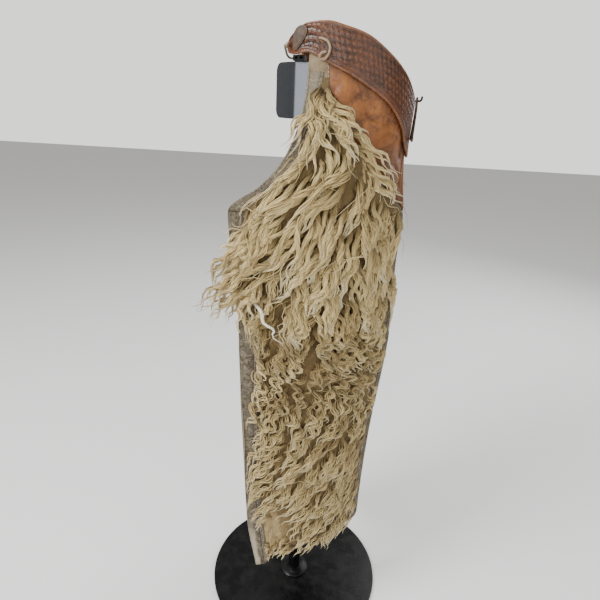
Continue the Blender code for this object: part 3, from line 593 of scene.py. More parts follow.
@dataclass(frozen=True)
class LeatherFinish:
    """Leather with grain, stains, scuffs and a relief that its mesh carries."""

    name: str
    deep: Color
    middle: Color
    pale: Color
    roughness: tuple[float, float] = (0.55, 0.75)
    grain: float = 900.0
    creases: float = 0.5
    bump: float = 0.25
    stains: float = 26.0
    scuffs: float = 0.35
    specular: float = 0.35

    def material(self) -> bpy.types.Material:
        """Builds the material.

        Returns:
            The material. One attribute of the mesh darkens it towards a painted shade colour, for shade in hollows and
            creases and for darker patches, and wear makes it pale.
        """
        material, tree, shader = new_material(self.name)
        grain = tree.add("Group", node_tree=GRAIN)
        grain.inputs["Size"].default_value = self.grain
        grain.inputs["Creases"].default_value = self.creases
        soil = tree.add("Group", node_tree=SOIL)
        soil.inputs["Size"].default_value = self.stains
        painted_shade_and_tone = tree.add("Attribute", attribute_name="painted_shade_and_tone").outputs["Fac"]
        wear = tree.add("Attribute", attribute_name="wear").outputs["Fac"]
        base = tree.mix(soil.outputs["Blotch"], rgba(self.middle), rgba(self.deep))
        toned = tree.mix(tree.span(grain.outputs["Tone"], 0.3, 0.7, 0.0, 0.35), base, rgba(self.pale))
        rubbed = tree.math("ADD", tree.math("MULTIPLY", soil.outputs["Scuff"], self.scuffs), wear, True)
        worn = tree.mix(rubbed, toned, rgba(self.pale))
        # Painted shade: the deep colour at three tenths, mixed in where the mesh's darkening attribute is high.
        shade_colour = tuple(0.30 * value for value in self.deep)
        colour = tree.mix(painted_shade_and_tone, worn, rgba(shade_colour))
        rough = tree.span(soil.outputs["Scuff"], 0.0, 1.0, *self.roughness)
        bump = tree.add("Bump", {"Strength": self.bump, "Distance": 0.0012, "Height": grain.outputs["Height"]})
        tree.tree.links.new(colour, shader.inputs["Base Color"])
        tree.tree.links.new(rough, shader.inputs["Roughness"])
        tree.tree.links.new(bump.outputs[0], shader.inputs["Normal"])
        shader.inputs["Specular IOR Level"].default_value = self.specular
        return material


@dataclass(frozen=True)
class HairFinish:
    """Hair whose colour runs from root to tip and differs from lock to lock."""

    name: str
    root: Color
    body: Color
    tip: Color
    dark_tone: Color
    roughness: float = 0.58
    matted: float = 0.0

    def material(self) -> bpy.types.Material:
        """Builds the material.

        Returns:
            The material. The mesh carries along, from root to tip, and tone, one number a lock.
        """
        material, tree, shader = new_material(self.name)
        along = tree.add("Attribute", attribute_name="along").outputs["Fac"]
        tone = tree.add("Attribute", attribute_name="tone").outputs["Fac"]
        soil = tree.add("Group", node_tree=SOIL)
        soil.inputs["Size"].default_value = 30.0
        soil.inputs["Marks"].default_value = 420.0
        # Painted shade deep in the coat: the root colour near the skin, giving way to the body colour.
        out = tree.mix(tree.span(along, 0.0, 0.42), rgba(self.root), rgba(self.body))
        ended = tree.mix(tree.span(along, 0.35, 1.0), out, rgba(self.tip))
        dulled = tree.mix(tree.math("MULTIPLY", tree.span(tone, 0.45, 1.0), 0.75), ended, rgba(self.dark_tone))
        patchy = tree.math("MULTIPLY", soil.outputs["Blotch"], 0.30)
        colour = tree.mix(patchy, dulled, rgba(self.dark_tone))
        round_it = [tree.add("Attribute", attribute_name=name).outputs["Fac"] for name in ("turn_x", "turn_y")]
        length = tree.math("ADD", tree.math("MULTIPLY", along, 2.2), tree.math("MULTIPLY", tone, 61.0))
        lengthwise = tree.add("CombineXYZ", {"X": round_it[0], "Y": round_it[1], "Z": length})
        fibres = tree.add("TexNoise", {"Vector": lengthwise.outputs[0], "Scale": 2.6, "Detail": 4.0, "Roughness": 0.65})
        streaked = tree.mix(tree.span(fibres.outputs[0], 0.44, 0.70, 0.0, 0.62), colour, rgba(self.root))
        slanted = tree.add("Mapping", {"Vector": tree.place(), "Rotation": (0.5, 0.0, 0.0), "Scale": (900.0, 900.0, 90.0)})
        mat = tree.add("TexNoise", {"Vector": slanted.outputs[0], "Scale": 1.0, "Detail": 3.0, "Distortion": 1.6})
        streaked = tree.mix(tree.span(mat.outputs[0], 0.42, 0.66, 0.0, 0.75 * self.matted), streaked, rgba(self.root))
        height = tree.math("ADD", fibres.outputs[0], tree.math("MULTIPLY", mat.outputs[0], 1.5 * self.matted))
        bump = tree.add("Bump", {"Strength": 0.45, "Distance": 0.0009, "Height": height})
        tree.tree.links.new(streaked, shader.inputs["Base Color"])
        tree.tree.links.new(bump.outputs[0], shader.inputs["Normal"])
        shader.inputs["Roughness"].default_value = self.roughness
        shader.inputs["Specular IOR Level"].default_value = 0.30
        shader.inputs["Sheen Weight"].default_value = 0.10
        return material


@dataclass(frozen=True)
class StandFinish:
    """Metal of the stand, with smears and dust."""

    name: str
    color: Color
    dusty: Color
    metallic: float
    roughness: tuple[float, float]
    dust: float
    coat: float = 0.0

    def material(self) -> bpy.types.Material:
        """Builds the material."""
        material, tree, shader = new_material(self.name)
        soil = tree.add("Group", node_tree=SOIL)
        soil.inputs["Size"].default_value = 14.0
        soil.inputs["Marks"].default_value = 90.0
        dust = tree.add("Group", node_tree=DUST)
        dust.inputs["Amount"].default_value = self.dust
        stretched = tree.add("Mapping", {"Vector": tree.place(), "Scale": (6.0, 60.0, 60.0)})
        smears = tree.add("TexNoise", {"Vector": stretched.outputs[0], "Scale": 3.0, "Detail": 6.0, "Distortion": 1.0})
        marks = tree.math("MULTIPLY", tree.span(smears.outputs[0], 0.5, 0.75), 0.35)
        dirty = tree.math("ADD", dust.outputs["Mask"], tree.math("MULTIPLY", marks, self.dust), True)
        colour = tree.mix(dirty, rgba(self.color), rgba(self.dusty))
        rough = tree.span(tree.math("ADD", dirty, tree.math("MULTIPLY", soil.outputs["Blotch"], 0.3)), 0.0, 1.0, *self.roughness)
        fine = tree.add("TexNoise", {"Vector": tree.place(), "Scale": 700.0, "Detail": 2.0})
        bump = tree.add("Bump", {"Strength": 0.05, "Distance": 0.0004, "Height": fine.outputs[0]})
        tree.tree.links.new(colour, shader.inputs["Base Color"])
        tree.tree.links.new(rough, shader.inputs["Roughness"])
        tree.tree.links.new(bump.outputs[0], shader.inputs["Normal"])
        shader.inputs["Metallic"].default_value = self.metallic
        shader.inputs["Coat Weight"].default_value = self.coat
        shader.inputs["Specular IOR Level"].default_value = 0.22
        return material


@dataclass(frozen=True)
class ThreadFinish:
    """Waxed sewing thread, dulled by dust."""

    name: str
    color: Color
    faded: Color

    def material(self) -> bpy.types.Material:
        """Builds the material."""
        material, tree, shader = new_material(self.name)
        soil = tree.add("Group", node_tree=SOIL)
        colour = tree.mix(soil.outputs["Blotch"], rgba(self.color), rgba(self.faded))
        twist = tree.add("TexWave", {"Vector": tree.place(), "Scale": 900.0, "Distortion": 2.0})
        bump = tree.add("Bump", {"Strength": 0.3, "Distance": 0.0003, "Height": twist.outputs["Fac"]})
        tree.tree.links.new(colour, shader.inputs["Base Color"])
        tree.tree.links.new(bump.outputs[0], shader.inputs["Normal"])
        shader.inputs["Roughness"].default_value = 0.8
        return material


HIDE_SKIN = LeatherFinish("hide skin", (0.10, 0.068, 0.033), (0.215, 0.158, 0.086), (0.37, 0.295, 0.185), (0.75, 0.9))
EDGING = LeatherFinish(
    "worn edging", (0.026, 0.016, 0.008), (0.070, 0.050, 0.026), (0.36, 0.310, 0.220), (0.7, 0.85), 800.0, 0.8, 0.4, 34.0, 0.55
)
BACK_LEATHER = LeatherFinish("back leather", (0.045, 0.028, 0.02), (0.10, 0.065, 0.045), (0.20, 0.15, 0.11), (0.6, 0.8), 700.0, 0.7, 0.35)
HIP_LEATHER = LeatherFinish(
    "hip leather", (0.070, 0.014, 0.0025), (0.265, 0.082, 0.0115), (0.42, 0.165, 0.029), (0.38, 0.62), 1000.0, 0.55, 0.22, 30.0, 0.25, 0.5
)
BELT_LEATHER = LeatherFinish(
    "belt leather", (0.014, 0.0035, 0.0010), (0.080, 0.0205, 0.0036), (0.30, 0.100, 0.026), (0.27, 0.50), 1100.0, 0.3, 0.18, 22.0, 0.3, 0.5
)
TAB_LEATHER = LeatherFinish("tab leather", (0.035, 0.022, 0.015), (0.085, 0.056, 0.040), (0.17, 0.125, 0.09), (0.65, 0.8))
BACK_LACE = LeatherFinish("dark lace", (0.022, 0.010, 0.006), (0.065, 0.028, 0.015), (0.14, 0.07, 0.04), (0.6, 0.8))
LACE_LEATHER = LeatherFinish("lace leather", (0.13, 0.085, 0.05), (0.27, 0.19, 0.12), (0.42, 0.33, 0.22), (0.7, 0.85))
# Each hair finish's root colour is painted shade deep in the coat; it also darkens the fibre streaks.
HAIR = HairFinish("mohair", (0.115, 0.070, 0.020), (0.66, 0.505, 0.228), (0.97, 0.86, 0.55), (0.235, 0.158, 0.054))
WHITE_HAIR = HairFinish("white hair", (0.62, 0.54, 0.38), (0.90, 0.85, 0.72), (0.97, 0.95, 0.88), (0.75, 0.68, 0.52))
UNDERCOAT = HairFinish(
    "undercoat", (0.085, 0.054, 0.019), (0.235, 0.158, 0.058), (0.52, 0.375, 0.18), (0.125, 0.083, 0.032), 0.8, 1.0
)
BLACK = StandFinish("black enamel", (0.003, 0.003, 0.0035), (0.026, 0.024, 0.022), 0.0, (0.24, 0.60), 0.30, 0.0)
DULL_BLACK = StandFinish("dull black", (0.005, 0.005, 0.006), (0.03, 0.03, 0.03), 0.0, (0.60, 0.85), 0.20, 0.0)
STEEL = StandFinish("oiled sheet steel", (0.075, 0.080, 0.090), (0.22, 0.21, 0.20), 0.85, (0.20, 0.50), 0.30)
THREAD = ThreadFinish("sewing thread", (0.34, 0.29, 0.22), (0.16, 0.125, 0.09))
PALE_THREAD = ThreadFinish("pale thread", (0.50, 0.46, 0.38), (0.24, 0.20, 0.15))

ARC_PER_DEG = 0.0021


def troughs(table: Table, z: np.ndarray, degrees: np.ndarray) -> np.ndarray:
    """Depth of the creases at places of the leather.

    Args:
        table: A row for each crease: angle, height, length, slant in degrees, depth and half width.
        z: Heights.
        degrees: Angles.

    Returns:
        The sum of the creases' depths, below zero in a trough.
    """
    total = np.zeros(np.broadcast(z, degrees).shape)
    for centre, height, length, slant, depth, half_width in table:
        u = (degrees - centre) * ARC_PER_DEG
        v = z - height
        turn = math.radians(slant)
        along = u * math.cos(turn) + v * math.sin(turn)
        bend = 0.12 * length * np.sin(along * 3.1 / length + centre)
        across = v * math.cos(turn) - u * math.sin(turn) - bend
        ends = np.maximum(np.abs(along) - length / 2, 0.0) / (0.25 * length)
        total += depth * np.exp(-((across / half_width) ** 2) - ends**2)
    return total


HIP_CREASES = (
    # deg, z, length, slant_deg, depth, half_width
    (72.0, 1.012, 0.050, 58.0, -0.0022, 0.0040),
    (84.0, 0.985, 0.060, 40.0, -0.0018, 0.0034),
    (96.0, 0.958, 0.058, 25.0, -0.0022, 0.0042),
    (112.0, 0.968, 0.046, -12.0, -0.0012, 0.0026),
    (116.0, 0.925, 0.062, 32.0, -0.0020, 0.0038),
    (128.0, 0.944, 0.044, 8.0, -0.0014, 0.0028),
    (140.0, 0.892, 0.056, -30.0, -0.0020, 0.0040),
    (150.0, 0.935, 0.034, 76.0, -0.0030, 0.0060),
    (158.0, 0.902, 0.040, 60.0, -0.0016, 0.0030),
    (164.0, 0.866, 0.038, 80.0, -0.0018, 0.0034),
)
LEG_CREASES = (
    # deg, z, length, slant_deg, depth, half_width
    (14.0, 0.790, 0.050, 18.0, -0.0014, 0.0040),
    (18.0, 0.655, 0.060, -24.0, -0.0018, 0.0050),
    (12.0, 0.545, 0.048, 12.0, -0.0014, 0.0036),
    (20.0, 0.395, 0.066, -30.0, -0.0018, 0.0046),
    (14.0, 0.300, 0.044, 20.0, -0.0012, 0.0034),
    (24.0, 0.205, 0.056, -18.0, -0.0016, 0.0040),
    (166.0, 0.620, 0.070, 24.0, -0.0016, 0.0044),
    (162.0, 0.470, 0.060, -16.0, -0.0014, 0.0040),
    (90.0, 0.250, 0.080, 12.0, -0.0016, 0.0050),
)
BACK_CREASES = (
    # deg, z, length, slant_deg, depth, half_width
    (40.0, 0.730, 0.120, 30.0, -0.0034, 0.0060),
    (70.0, 0.640, 0.150, 42.0, -0.0042, 0.0075),
    (104.0, 0.700, 0.110, -20.0, -0.0030, 0.0055),
    (130.0, 0.590, 0.140, 28.0, -0.0038, 0.0070),
    (54.0, 0.500, 0.130, -34.0, -0.0036, 0.0065),
    (96.0, 0.455, 0.160, 22.0, -0.0044, 0.0080),
    (138.0, 0.400, 0.110, -28.0, -0.0030, 0.0055),
    (62.0, 0.345, 0.120, 36.0, -0.0034, 0.0060),
    (108.0, 0.290, 0.130, -14.0, -0.0038, 0.0070),
    (44.0, 0.235, 0.090, 20.0, -0.0026, 0.0050),
)


def pushed_in(z: np.ndarray, degrees: np.ndarray) -> np.ndarray:
    """Creases of the outer leather, none under the belt, which lies close on it."""
    free = 1 - smooth(-0.016, -0.004, z - FORM.belt_low(degrees))
    return (troughs(HIP_CREASES, z, degrees) + troughs(LEG_CREASES, z, degrees)) * free


def outer_leather(z: np.ndarray, degrees: np.ndarray, off: np.ndarray | float) -> np.ndarray:
    """Points on the creased outer leather."""
    return FORM.at(z, degrees, off + pushed_in(z, degrees))


def grid_of(rows: np.ndarray, columns: np.ndarray) -> tuple[np.ndarray, np.ndarray]:
    """Two arrays, rows down and columns across."""
    return np.meshgrid(rows, columns, indexing="ij")


@dataclass
class StitchLine:
    """Row of thread stitches along a path on the leather."""

    step: float = 0.0052
    length: float = 0.0040
    radius: float = 0.00042

    def solids(self, path: np.ndarray, normals: np.ndarray) -> tuple[np.ndarray, np.ndarray]:
        """Small capsules, one for each stitch.

        Args:
            path: Points along the seam.
            normals: Directions out of the leather at those points.

        Returns:
            Their points and their triangles.
        """
        gone = np.concatenate([[0.0], np.cumsum(np.linalg.norm(np.diff(path, axis=0), axis=1))])
        count = max(int(gone[-1] / self.step), 1)
        where = (np.arange(count) + 0.5) * gone[-1] / count
        centre = np.stack([np.interp(where, gone, path[:, axis]) for axis in range(3)], -1)
        ahead = np.stack([np.interp(where + 0.001, gone, path[:, axis]) for axis in range(3)], -1)
        behind = np.stack([np.interp(where - 0.001, gone, path[:, axis]) for axis in range(3)], -1)
        up = unit(np.stack([np.interp(where, gone, normals[:, axis]) for axis in range(3)], -1))
        along = unit(ahead - behind)
        across = unit(np.cross(along, up))
        rings = ((-1.0, 0.45), (-0.5, 1.0), (0.5, 1.0), (1.0, 0.45))
        sides = 4
        turn = FULL_TURN * np.arange(sides) / sides
        parts = []
        for place, width in rings:
            round_it = across[:, None] * np.cos(turn)[None, :, None] + up[:, None] * np.sin(turn)[None, :, None]
            shade_colour = self.radius * (0.35 - 0.5 * place * place)
            spot = centre + along * (place * self.length / 2) + up * shade_colour
            parts.append(spot[:, None] + round_it * (self.radius * max(width, 0.12)))
        points = np.stack(parts, axis=1)
        faces = []
        for ring in range(len(rings) - 1):
            for side in range(sides):
                a, b = ring * sides + side, ring * sides + (side + 1) % sides
                faces += [(a, b, b + sides), (a, b + sides, a + sides)]
        last = sides * (len(rings) - 1)
        faces += [(0, side + 1, side) for side in range(1, sides - 1)]
        faces += [(last, last + side, last + side + 1) for side in range(1, sides - 1)]
        block = sides * len(rings)
        shifted = np.array(faces)[None] + (np.arange(count) * block)[:, None, None]
        return points.reshape(-1, 3), shifted.reshape(-1, 3)


@dataclass
class LegLeather:
    """Leather of one leg: hide, plain back, borders, crotch edging and hip panel, with their seams."""

    side: Side
    hide_rows: int = 110
    hide_columns: int = 44
    strip_columns: int = 13
    back_rows: int = 84
    back_columns: int = 40
    hip_rows: int = 44
    hip_columns: int = 64
    white_patch_top: float = 0.262

    def build(self, skins: dict[str, bpy.types.Material]) -> None:
        """Makes every leather piece of the leg.

        Args:
            skins: The materials by name.
        """
        self.hide(skins["hide"])
        self.strips(skins["edging"])
        self.back(skins["back"])
        self.hip(skins["hip"])
        self.seams(skins["thread"])

    def panel(
        self, name: str, z: np.ndarray, degrees: np.ndarray, low: float, high: float, values: dict[str, np.ndarray]
    ) -> bpy.types.Object:
        """Shell of outer leather between two offsets."""
        outer = outer_leather(z, degrees, high)
        piece = make_shell(name, outer, outer_leather(z, degrees, low), self.side.sign, values)
        return piece

    def hide(self, skin: bpy.types.Material) -> None:
        """Hide under the coat."""
        row, column = grid_of(np.linspace(0.0, HIDE_ROWS, self.hide_rows), np.linspace(0.0, HIDE_COLUMNS, self.hide_columns))
        z, degrees = FORM.hide_place(row, column)
        # Darker towards the hem, and paler at the hem's very edge.
        values = {"painted_shade_and_tone": 0.25 * smooth(0.7, 0.0, row), "wear": 0.5 * smooth(0.3, 0.0, row)}
        piece = self.panel("hide_skin_" + self.side.letter, z, degrees, HIDE_INNER, HIDE_OUTER, values)
        finish_piece(piece, skin, "woolly_hide", "hide_" + self.side.letter)

    def strips(self, skin: bpy.types.Material) -> None:
        """Borders along the two edges of the leg, and the edging along the crotch curve."""
        leg = np.linspace(0.0, LEG_ROWS, self.hide_rows)
        crotch = np.linspace(LEG_ROWS + 0.04, 30.0, 56)
        self.strip("inseam_border", leg, np.zeros_like(leg), np.full_like(leg, INSEAM_COLUMNS), skin)
        first = np.full_like(leg, HIDE_COLUMNS - OUTSEAM_COLUMNS)
        self.strip("outseam_border", leg, first, np.full_like(leg, HIDE_COLUMNS), skin)
        self.strip("crotch_edging", crotch, np.zeros_like(crotch), FORM.edging(crotch), skin)

    def strip(self, name: str, rows: np.ndarray, first: np.ndarray, last: np.ndarray, skin: bpy.types.Material) -> None:
        """One strip of worn leather on the hide.

        Args:
            name: The solid's name without its side.
            rows: Rows of the hide's grid.
            first: Column of the strip's front edge at each row.
            last: Column of its rear edge at each row.
            skin: Its leather.
        """
        share = np.linspace(0.0, 1.0, self.strip_columns)
        row = np.repeat(rows[:, None], len(share), axis=1)
        column = first[:, None] + (last - first)[:, None] * share[None, :]
        z, degrees = FORM.hide_place(row, column)
        edge = np.minimum(share, 1 - share)[None, :] + 0.0 * z
        chipped = 0.35 * (wander(z, degrees, 0.035, 1.0) > 0.35) + 0.5 * (wander(z, degrees, 0.012, 2.0) > 0.55)
        wear = smooth(0.12, 0.0, edge) * 0.35 + 0.22 * chipped
        # Painted shade along a groove beside the stitching, which the mesh doesn't cut.
        groove = np.exp(-(((edge - 0.17) / 0.045) ** 2))
        if name == "inseam_border":
            patch = smooth(self.white_patch_top, 0.200, z) * smooth(0.66, 0.5, share[None, :] + 0.1 * wander(z, degrees, 0.03, 4.0))
            wear = np.maximum(wear, patch)
        if name == "crotch_edging":
            wear = np.maximum(wear, 0.30 * smooth(0.955, 0.995, z))
        values = {"painted_shade_and_tone": 0.55 * groove, "wear": np.clip(wear, 0.0, 1.0)}
        rounded = 0.0006 * smooth(0.10, 0.0, edge)
        outer = outer_leather(z, degrees, BORDER_OUTER - rounded)
        label = {"inseam_border": "inseam_strip_", "outseam_border": "outseam_strip_", "crotch_edging": "crotch_strip_"}[name]
        piece = make_shell(label + self.side.letter, outer, outer_leather(z, degrees, BORDER_INNER), self.side.sign, values)
        flat, area = cut_size(outer)
        if area < 0.3 * flat[0] * flat[1]:
            flat = (area / flat[1], flat[1])
        finish_piece(piece, skin, "edging_leather", name + "_" + self.side.letter)

    def back(self, skin: bpy.types.Material) -> None:
        """Plain leather behind the leg, with its torn margin past the outseam."""
        hem, top, margin = Curve(BACK_HEM), Curve(BACK_TOP), Curve(BACK_MARGIN)
        t, share = grid_of(np.linspace(0.0, 1.0, self.back_rows), np.linspace(0.0, 1.0, self.back_columns))
        degrees = EDGE_DEG + (180.0 - 2 * EDGE_DEG) * share
        z = hem(degrees) + (top(degrees) - hem(degrees)) * t
        held = smooth(0.0, 0.12, np.minimum(share, 1 - share))
        fold = (troughs(BACK_CREASES, z, degrees) + 0.0012 * wander(z, degrees, 0.11, 3.0)) * held
        grids = []
        for off in (BACK_OUTER, HIDE_INNER):
            grid = FORM.at(z, degrees, off + fold, -1)
            beyond = unit(grid[:, -1] - grid[:, -2])
            ragged = margin(grid[:, -1, 2]) * (1 + 0.25 * np.sin(grid[:, -1, 2] * 410.0))
            steps = [grid[:, -1] + beyond * (ragged * part)[:, None] for part in (0.5, 1.0)]
            grids.append(np.concatenate([grid, steps[0][:, None], steps[1][:, None]], axis=1))
        pad = np.concatenate([fold, fold[:, -1:], fold[:, -1:]], axis=1)
        # Painted shade in the creases' troughs; the ridges are paler with wear.
        values = {"painted_shade_and_tone": np.clip(-pad / 0.006, 0.0, 0.5), "wear": np.clip(pad / 0.004, 0.0, 0.4)}
        piece = make_shell("back_leather_" + self.side.letter, grids[0], grids[1], -self.side.sign, values)
        piece.data.transform(Matrix.Scale(-1, 4, (1, 0, 0)))
        finish_piece(piece, skin, "back_leather", "back_" + self.side.letter)

    def hip(self, skin: bpy.types.Material) -> None:
        """Smooth hip panel from the slanting seam up under the belt."""
        first = 58.0
        share, t = grid_of(np.linspace(0.0, 1.0, self.hip_columns), np.linspace(0.0, 1.0, self.hip_rows))
        degrees = first + (178.0 - first) * share
        low = FORM.seam_height(degrees) + 0.0014
        high = FORM.belt_low(degrees) + 0.014
        z = np.minimum(low, high - 0.003) * (1 - t) + high * t
        z, degrees = z.T, degrees.T
        # Darkening for the panel: painted shade under the belt, in the dimple and in the creases; darker near the seam,
        # towards the rear edge and towards the bottom.
        seam = smooth(0.012, 0.0, z - FORM.seam_height(degrees))
        rear = smooth(166.0, 178.0, degrees)
        shade = smooth(0.015, 0.0, FORM.belt_low(degrees) - z)
        darker_low = smooth(0.965, 0.885, z + 0.018 * wander(z, degrees, 0.05, 6.0))
        dimple = np.exp(-(((degrees - 151.0) / 6.0) ** 2) - (((z - 0.935) / 0.014) ** 2))
        dark = 0.42 * seam + 0.35 * rear + 0.40 * shade + 0.34 * darker_low + 0.5 * dimple
        dark += np.clip(-pushed_in(z, degrees) / 0.0024, 0.0, 1.0) * 0.35
        streak = smooth(0.25, 0.8, wander(z * 0.6, degrees, 0.03, 8.0))
        values = {"painted_shade_and_tone": np.clip(dark, 0.0, 0.8), "wear": np.clip(0.35 * streak * (1 - dark), 0.0, 1.0)}
        piece = self.panel("hip_leather_" + self.side.letter, z, degrees, HIDE_INNER, HIDE_OUTER, values)
        finish_piece(piece, skin, "hip_leather", "hip_panel_" + self.side.letter)

    def seams(self, thread: bpy.types.Material) -> None:
        """Thread of every seam on the leg, joined in one piece."""
        line = StitchLine()
        leg = np.linspace(0.2, LEG_ROWS - 0.1, 160)
        crotch = np.linspace(LEG_ROWS + 0.2, 29.6, 90)
        runs = [(leg, np.full_like(leg, column), BORDER_OUTER) for column in (0.34, 2.62, 2.82)]
        runs += [(leg, np.full_like(leg, column), BORDER_OUTER) for column in (12.22, 13.72)]
        runs += [(crotch, FORM.edging(crotch) * part, BORDER_OUTER) for part in (0.13, 0.86)]
        upper = np.linspace(LEG_ROWS + 0.6, 30.4, 90)
        runs.append((upper, np.full_like(upper, HIDE_COLUMNS - 0.16), HIDE_OUTER))
        parts, faces, start = [], [], 0
        for rows, columns, off in runs:
            z, degrees = FORM.hide_place(rows, columns)
            points, triangles = line.solids(outer_leather(z, degrees, off), FORM.normal(z, degrees))
            parts.append(points)
            faces.append(triangles + start)
            start += len(points)
        piece = make_mesh("leg_stitching_" + self.side.letter, np.concatenate(parts), np.concatenate(faces), self.side.sign)
        finish_piece(piece, thread, "edging_leather")


@dataclass
class BeltHalf:
    """One half of the belt: basket-weave stamped, bordered, stitched, with a tab at its front end."""

    side: Side
    rows: int = 40
    columns: int = 230
    cell: float = 0.0082
    relief: float = 0.00085
    low_border: float = 0.19
    high_border: float = 0.93
    tab_degrees: float = 27.0
    tab_height: float = 1.0645
    tab_half_degrees: float = 9.8
    tab_half_height: float = 0.0150
    tab_thickness: float = 0.0014

    def build(self, skins: dict[str, bpy.types.Material]) -> None:
        """Makes the strap, the tab and the stitches."""
        self.strap(skins["belt"])
        self.tab(skins["tab"])
        self.thong(skins["lace"])
        self.stitching(skins["thread"])

    def stamping(self, along: np.ndarray, up: np.ndarray, t: np.ndarray) -> np.ndarray:
        """Depth pressed into the strap.

        Args:
            along: Distance along the strap.
            up: Distance up the strap.
            t: Share of the way up.

        Returns:
            Depths from 0, untouched, to 1, deepest.
        """
        turn = math.radians(14.0)
        u = (along * math.cos(turn) + up * math.sin(turn)) / self.cell
        v = (up * math.cos(turn) - along * math.sin(turn)) / self.cell
        even = (np.floor(u) + np.floor(v)) % 2 == 0
        run, width = np.where(even, u % 1, v % 1), np.where(even, v % 1, u % 1)
        hump = np.sin(math.pi * width) ** 0.55 * (0.35 + 0.65 * np.sin(math.pi * run) ** 0.5)
        ribs = 0.18 * (0.5 + 0.5 * np.cos(FULL_TURN * 3 * width))
        woven = 1 - np.clip(hump - ribs, 0.0, 1.0)
        inside = smooth(self.low_border, self.low_border + 0.03, t) * smooth(self.high_border, self.high_border - 0.03, t)
        line = np.exp(-(((t - self.low_border) / 0.016) ** 2)) + np.exp(-(((t - self.high_border) / 0.014) ** 2))
        dots = 0.5 + 0.5 * np.cos(FULL_TURN * along / 0.0034) * np.cos(FULL_TURN * up / 0.0034)
        band = 0.6 * dots * smooth(0.05, 0.07, t) * smooth(self.low_border - 0.02, self.low_border - 0.05, t)
        return np.clip(woven * inside + 0.8 * line + band, 0.0, 1.0)

    def strap(self, skin: bpy.types.Material) -> None:
        """Stamped strap."""
        first, last = BELT_EDGES[0][0], BELT_EDGES[-1][0]
        t, degrees = grid_of(np.linspace(0.0, 1.0, self.rows), np.linspace(first, last, self.columns))
        low, high = FORM.belt_low(degrees), FORM.belt_high(degrees)
        z = low + (high - low) * t
        middle = FORM.at(z[self.rows // 2], degrees[0], BELT_OUTER)
        gone = np.concatenate([[0.0], np.cumsum(np.linalg.norm(np.diff(middle, axis=0), axis=1))])
        along = np.repeat(gone[None, :], self.rows, axis=0)
        ends = smooth(0.004, 0.014, np.minimum(along, gone[-1] - along))
        pressed = self.stamping(along, (high - low) * t, t) * ends
        edge = np.minimum(t, 1 - t)
        rounded = 0.0011 * smooth(0.045, 0.0, edge) ** 2
        outer = FORM.at(z, degrees, BELT_OUTER - self.relief * pressed - rounded)
        inner = FORM.at(z, degrees, BELT_INNER + 0.4 * rounded)
        raw = smooth(0.965, 0.99, t) * (0.55 + 0.45 * wander(z, degrees, 0.02, 5.0))
        rubbed = 0.32 * smooth(0.35, 0.0, pressed) * (0.6 + 0.4 * wander(z, degrees, 0.03, 7.0))
        # Painted shade in the stamped recesses; the raw top edge and the raised weave are paler with wear.
        values = {"painted_shade_and_tone": 0.75 * pressed, "wear": np.clip(raw + rubbed, 0.0, 1.0)}
        piece = make_shell("belt_half_" + self.side.letter, outer, inner, self.side.sign, values)
        finish_piece(piece, skin, "belt_leather", "belt_" + self.side.letter)

    def tab(self, skin: bpy.types.Material) -> None:
        """Rounded tab at the belt's front end."""
        steps = 26
        a, b = grid_of(np.linspace(-1.0, 1.0, steps), np.linspace(-1.0, 1.0, steps))
        x, y = b * np.sqrt(1 - a * a / 2), a * np.sqrt(1 - b * b / 2)
        radius = np.hypot(x, y)
        z = self.tab_height + y * self.tab_half_height
        degrees = self.tab_degrees + (x * (0.85 + 0.3 * y) + 0.42 * y) * self.tab_half_degrees
        dome = 0.0016 * (1 - radius**2) - 0.0007 * smooth(0.75, 1.0, radius)
        groove = 0.0002 * np.exp(-(((radius - 0.84) / 0.04) ** 2))
        seat = BELT_OUTER + 0.0003
        outer = FORM.at(z, degrees, seat + self.tab_thickness + dome - groove)
        # Painted shade in the groove round the rim.
        values = {"painted_shade_and_tone": 0.4 * groove / 0.0002, "wear": 0.35 * smooth(0.86, 1.0, radius)}
        piece = make_shell("belt_tab_leather_" + self.side.letter, outer, FORM.at(z, degrees, seat), self.side.sign, values)
        finish_piece(piece, skin, "tab_leather", "belt_tab_" + self.side.letter)

    def thong(self, skin: bpy.types.Material) -> None:
        """Short curled thong that ties the belt to the hide."""
        stops = (
            # deg, z, off
            (50.0, 1.0640, 0.0068),
            (54.0, 1.0630, 0.0102),
            (59.0, 1.0590, 0.0116),
            (61.0, 1.0500, 0.0125),
            (58.0, 1.0390, 0.0140),
            (53.0, 1.0385, 0.0156),
            (54.5, 1.0450, 0.0158),
            (58.5, 1.0470, 0.0146),
        )
        route = [FORM.at(np.array(z), np.array(degrees), off) for degrees, z, off in stops]
        piece = make_tube("belt_thong_" + self.side.letter, np.array(route), 0.0017, self.side.sign)
        finish_piece(piece, skin, "lace_leather")

    def stitching(self, thread: bpy.types.Material) -> None:
        """Two rows of thread along the strap's lower edge."""
        parts, faces, start = [], [], 0
        degrees = np.linspace(BELT_EDGES[0][0] + 3.0, BELT_EDGES[-1][0] - 1.0, 220)
        low, high = FORM.belt_low(degrees), FORM.belt_high(degrees)
        for t in (0.045, 0.965):
            z = low + (high - low) * t
            path = FORM.at(z, degrees, BELT_OUTER - 0.0003)
            points, triangles = StitchLine(0.0040, 0.0029, 0.00034).solids(path, FORM.normal(z, degrees))
            parts.append(points)
            faces.append(triangles + start)
            start += len(points)
        piece = make_mesh("belt_stitching_" + self.side.letter, np.concatenate(parts), np.concatenate(faces), self.side.sign)
        finish_piece(piece, thread, "belt_leather")


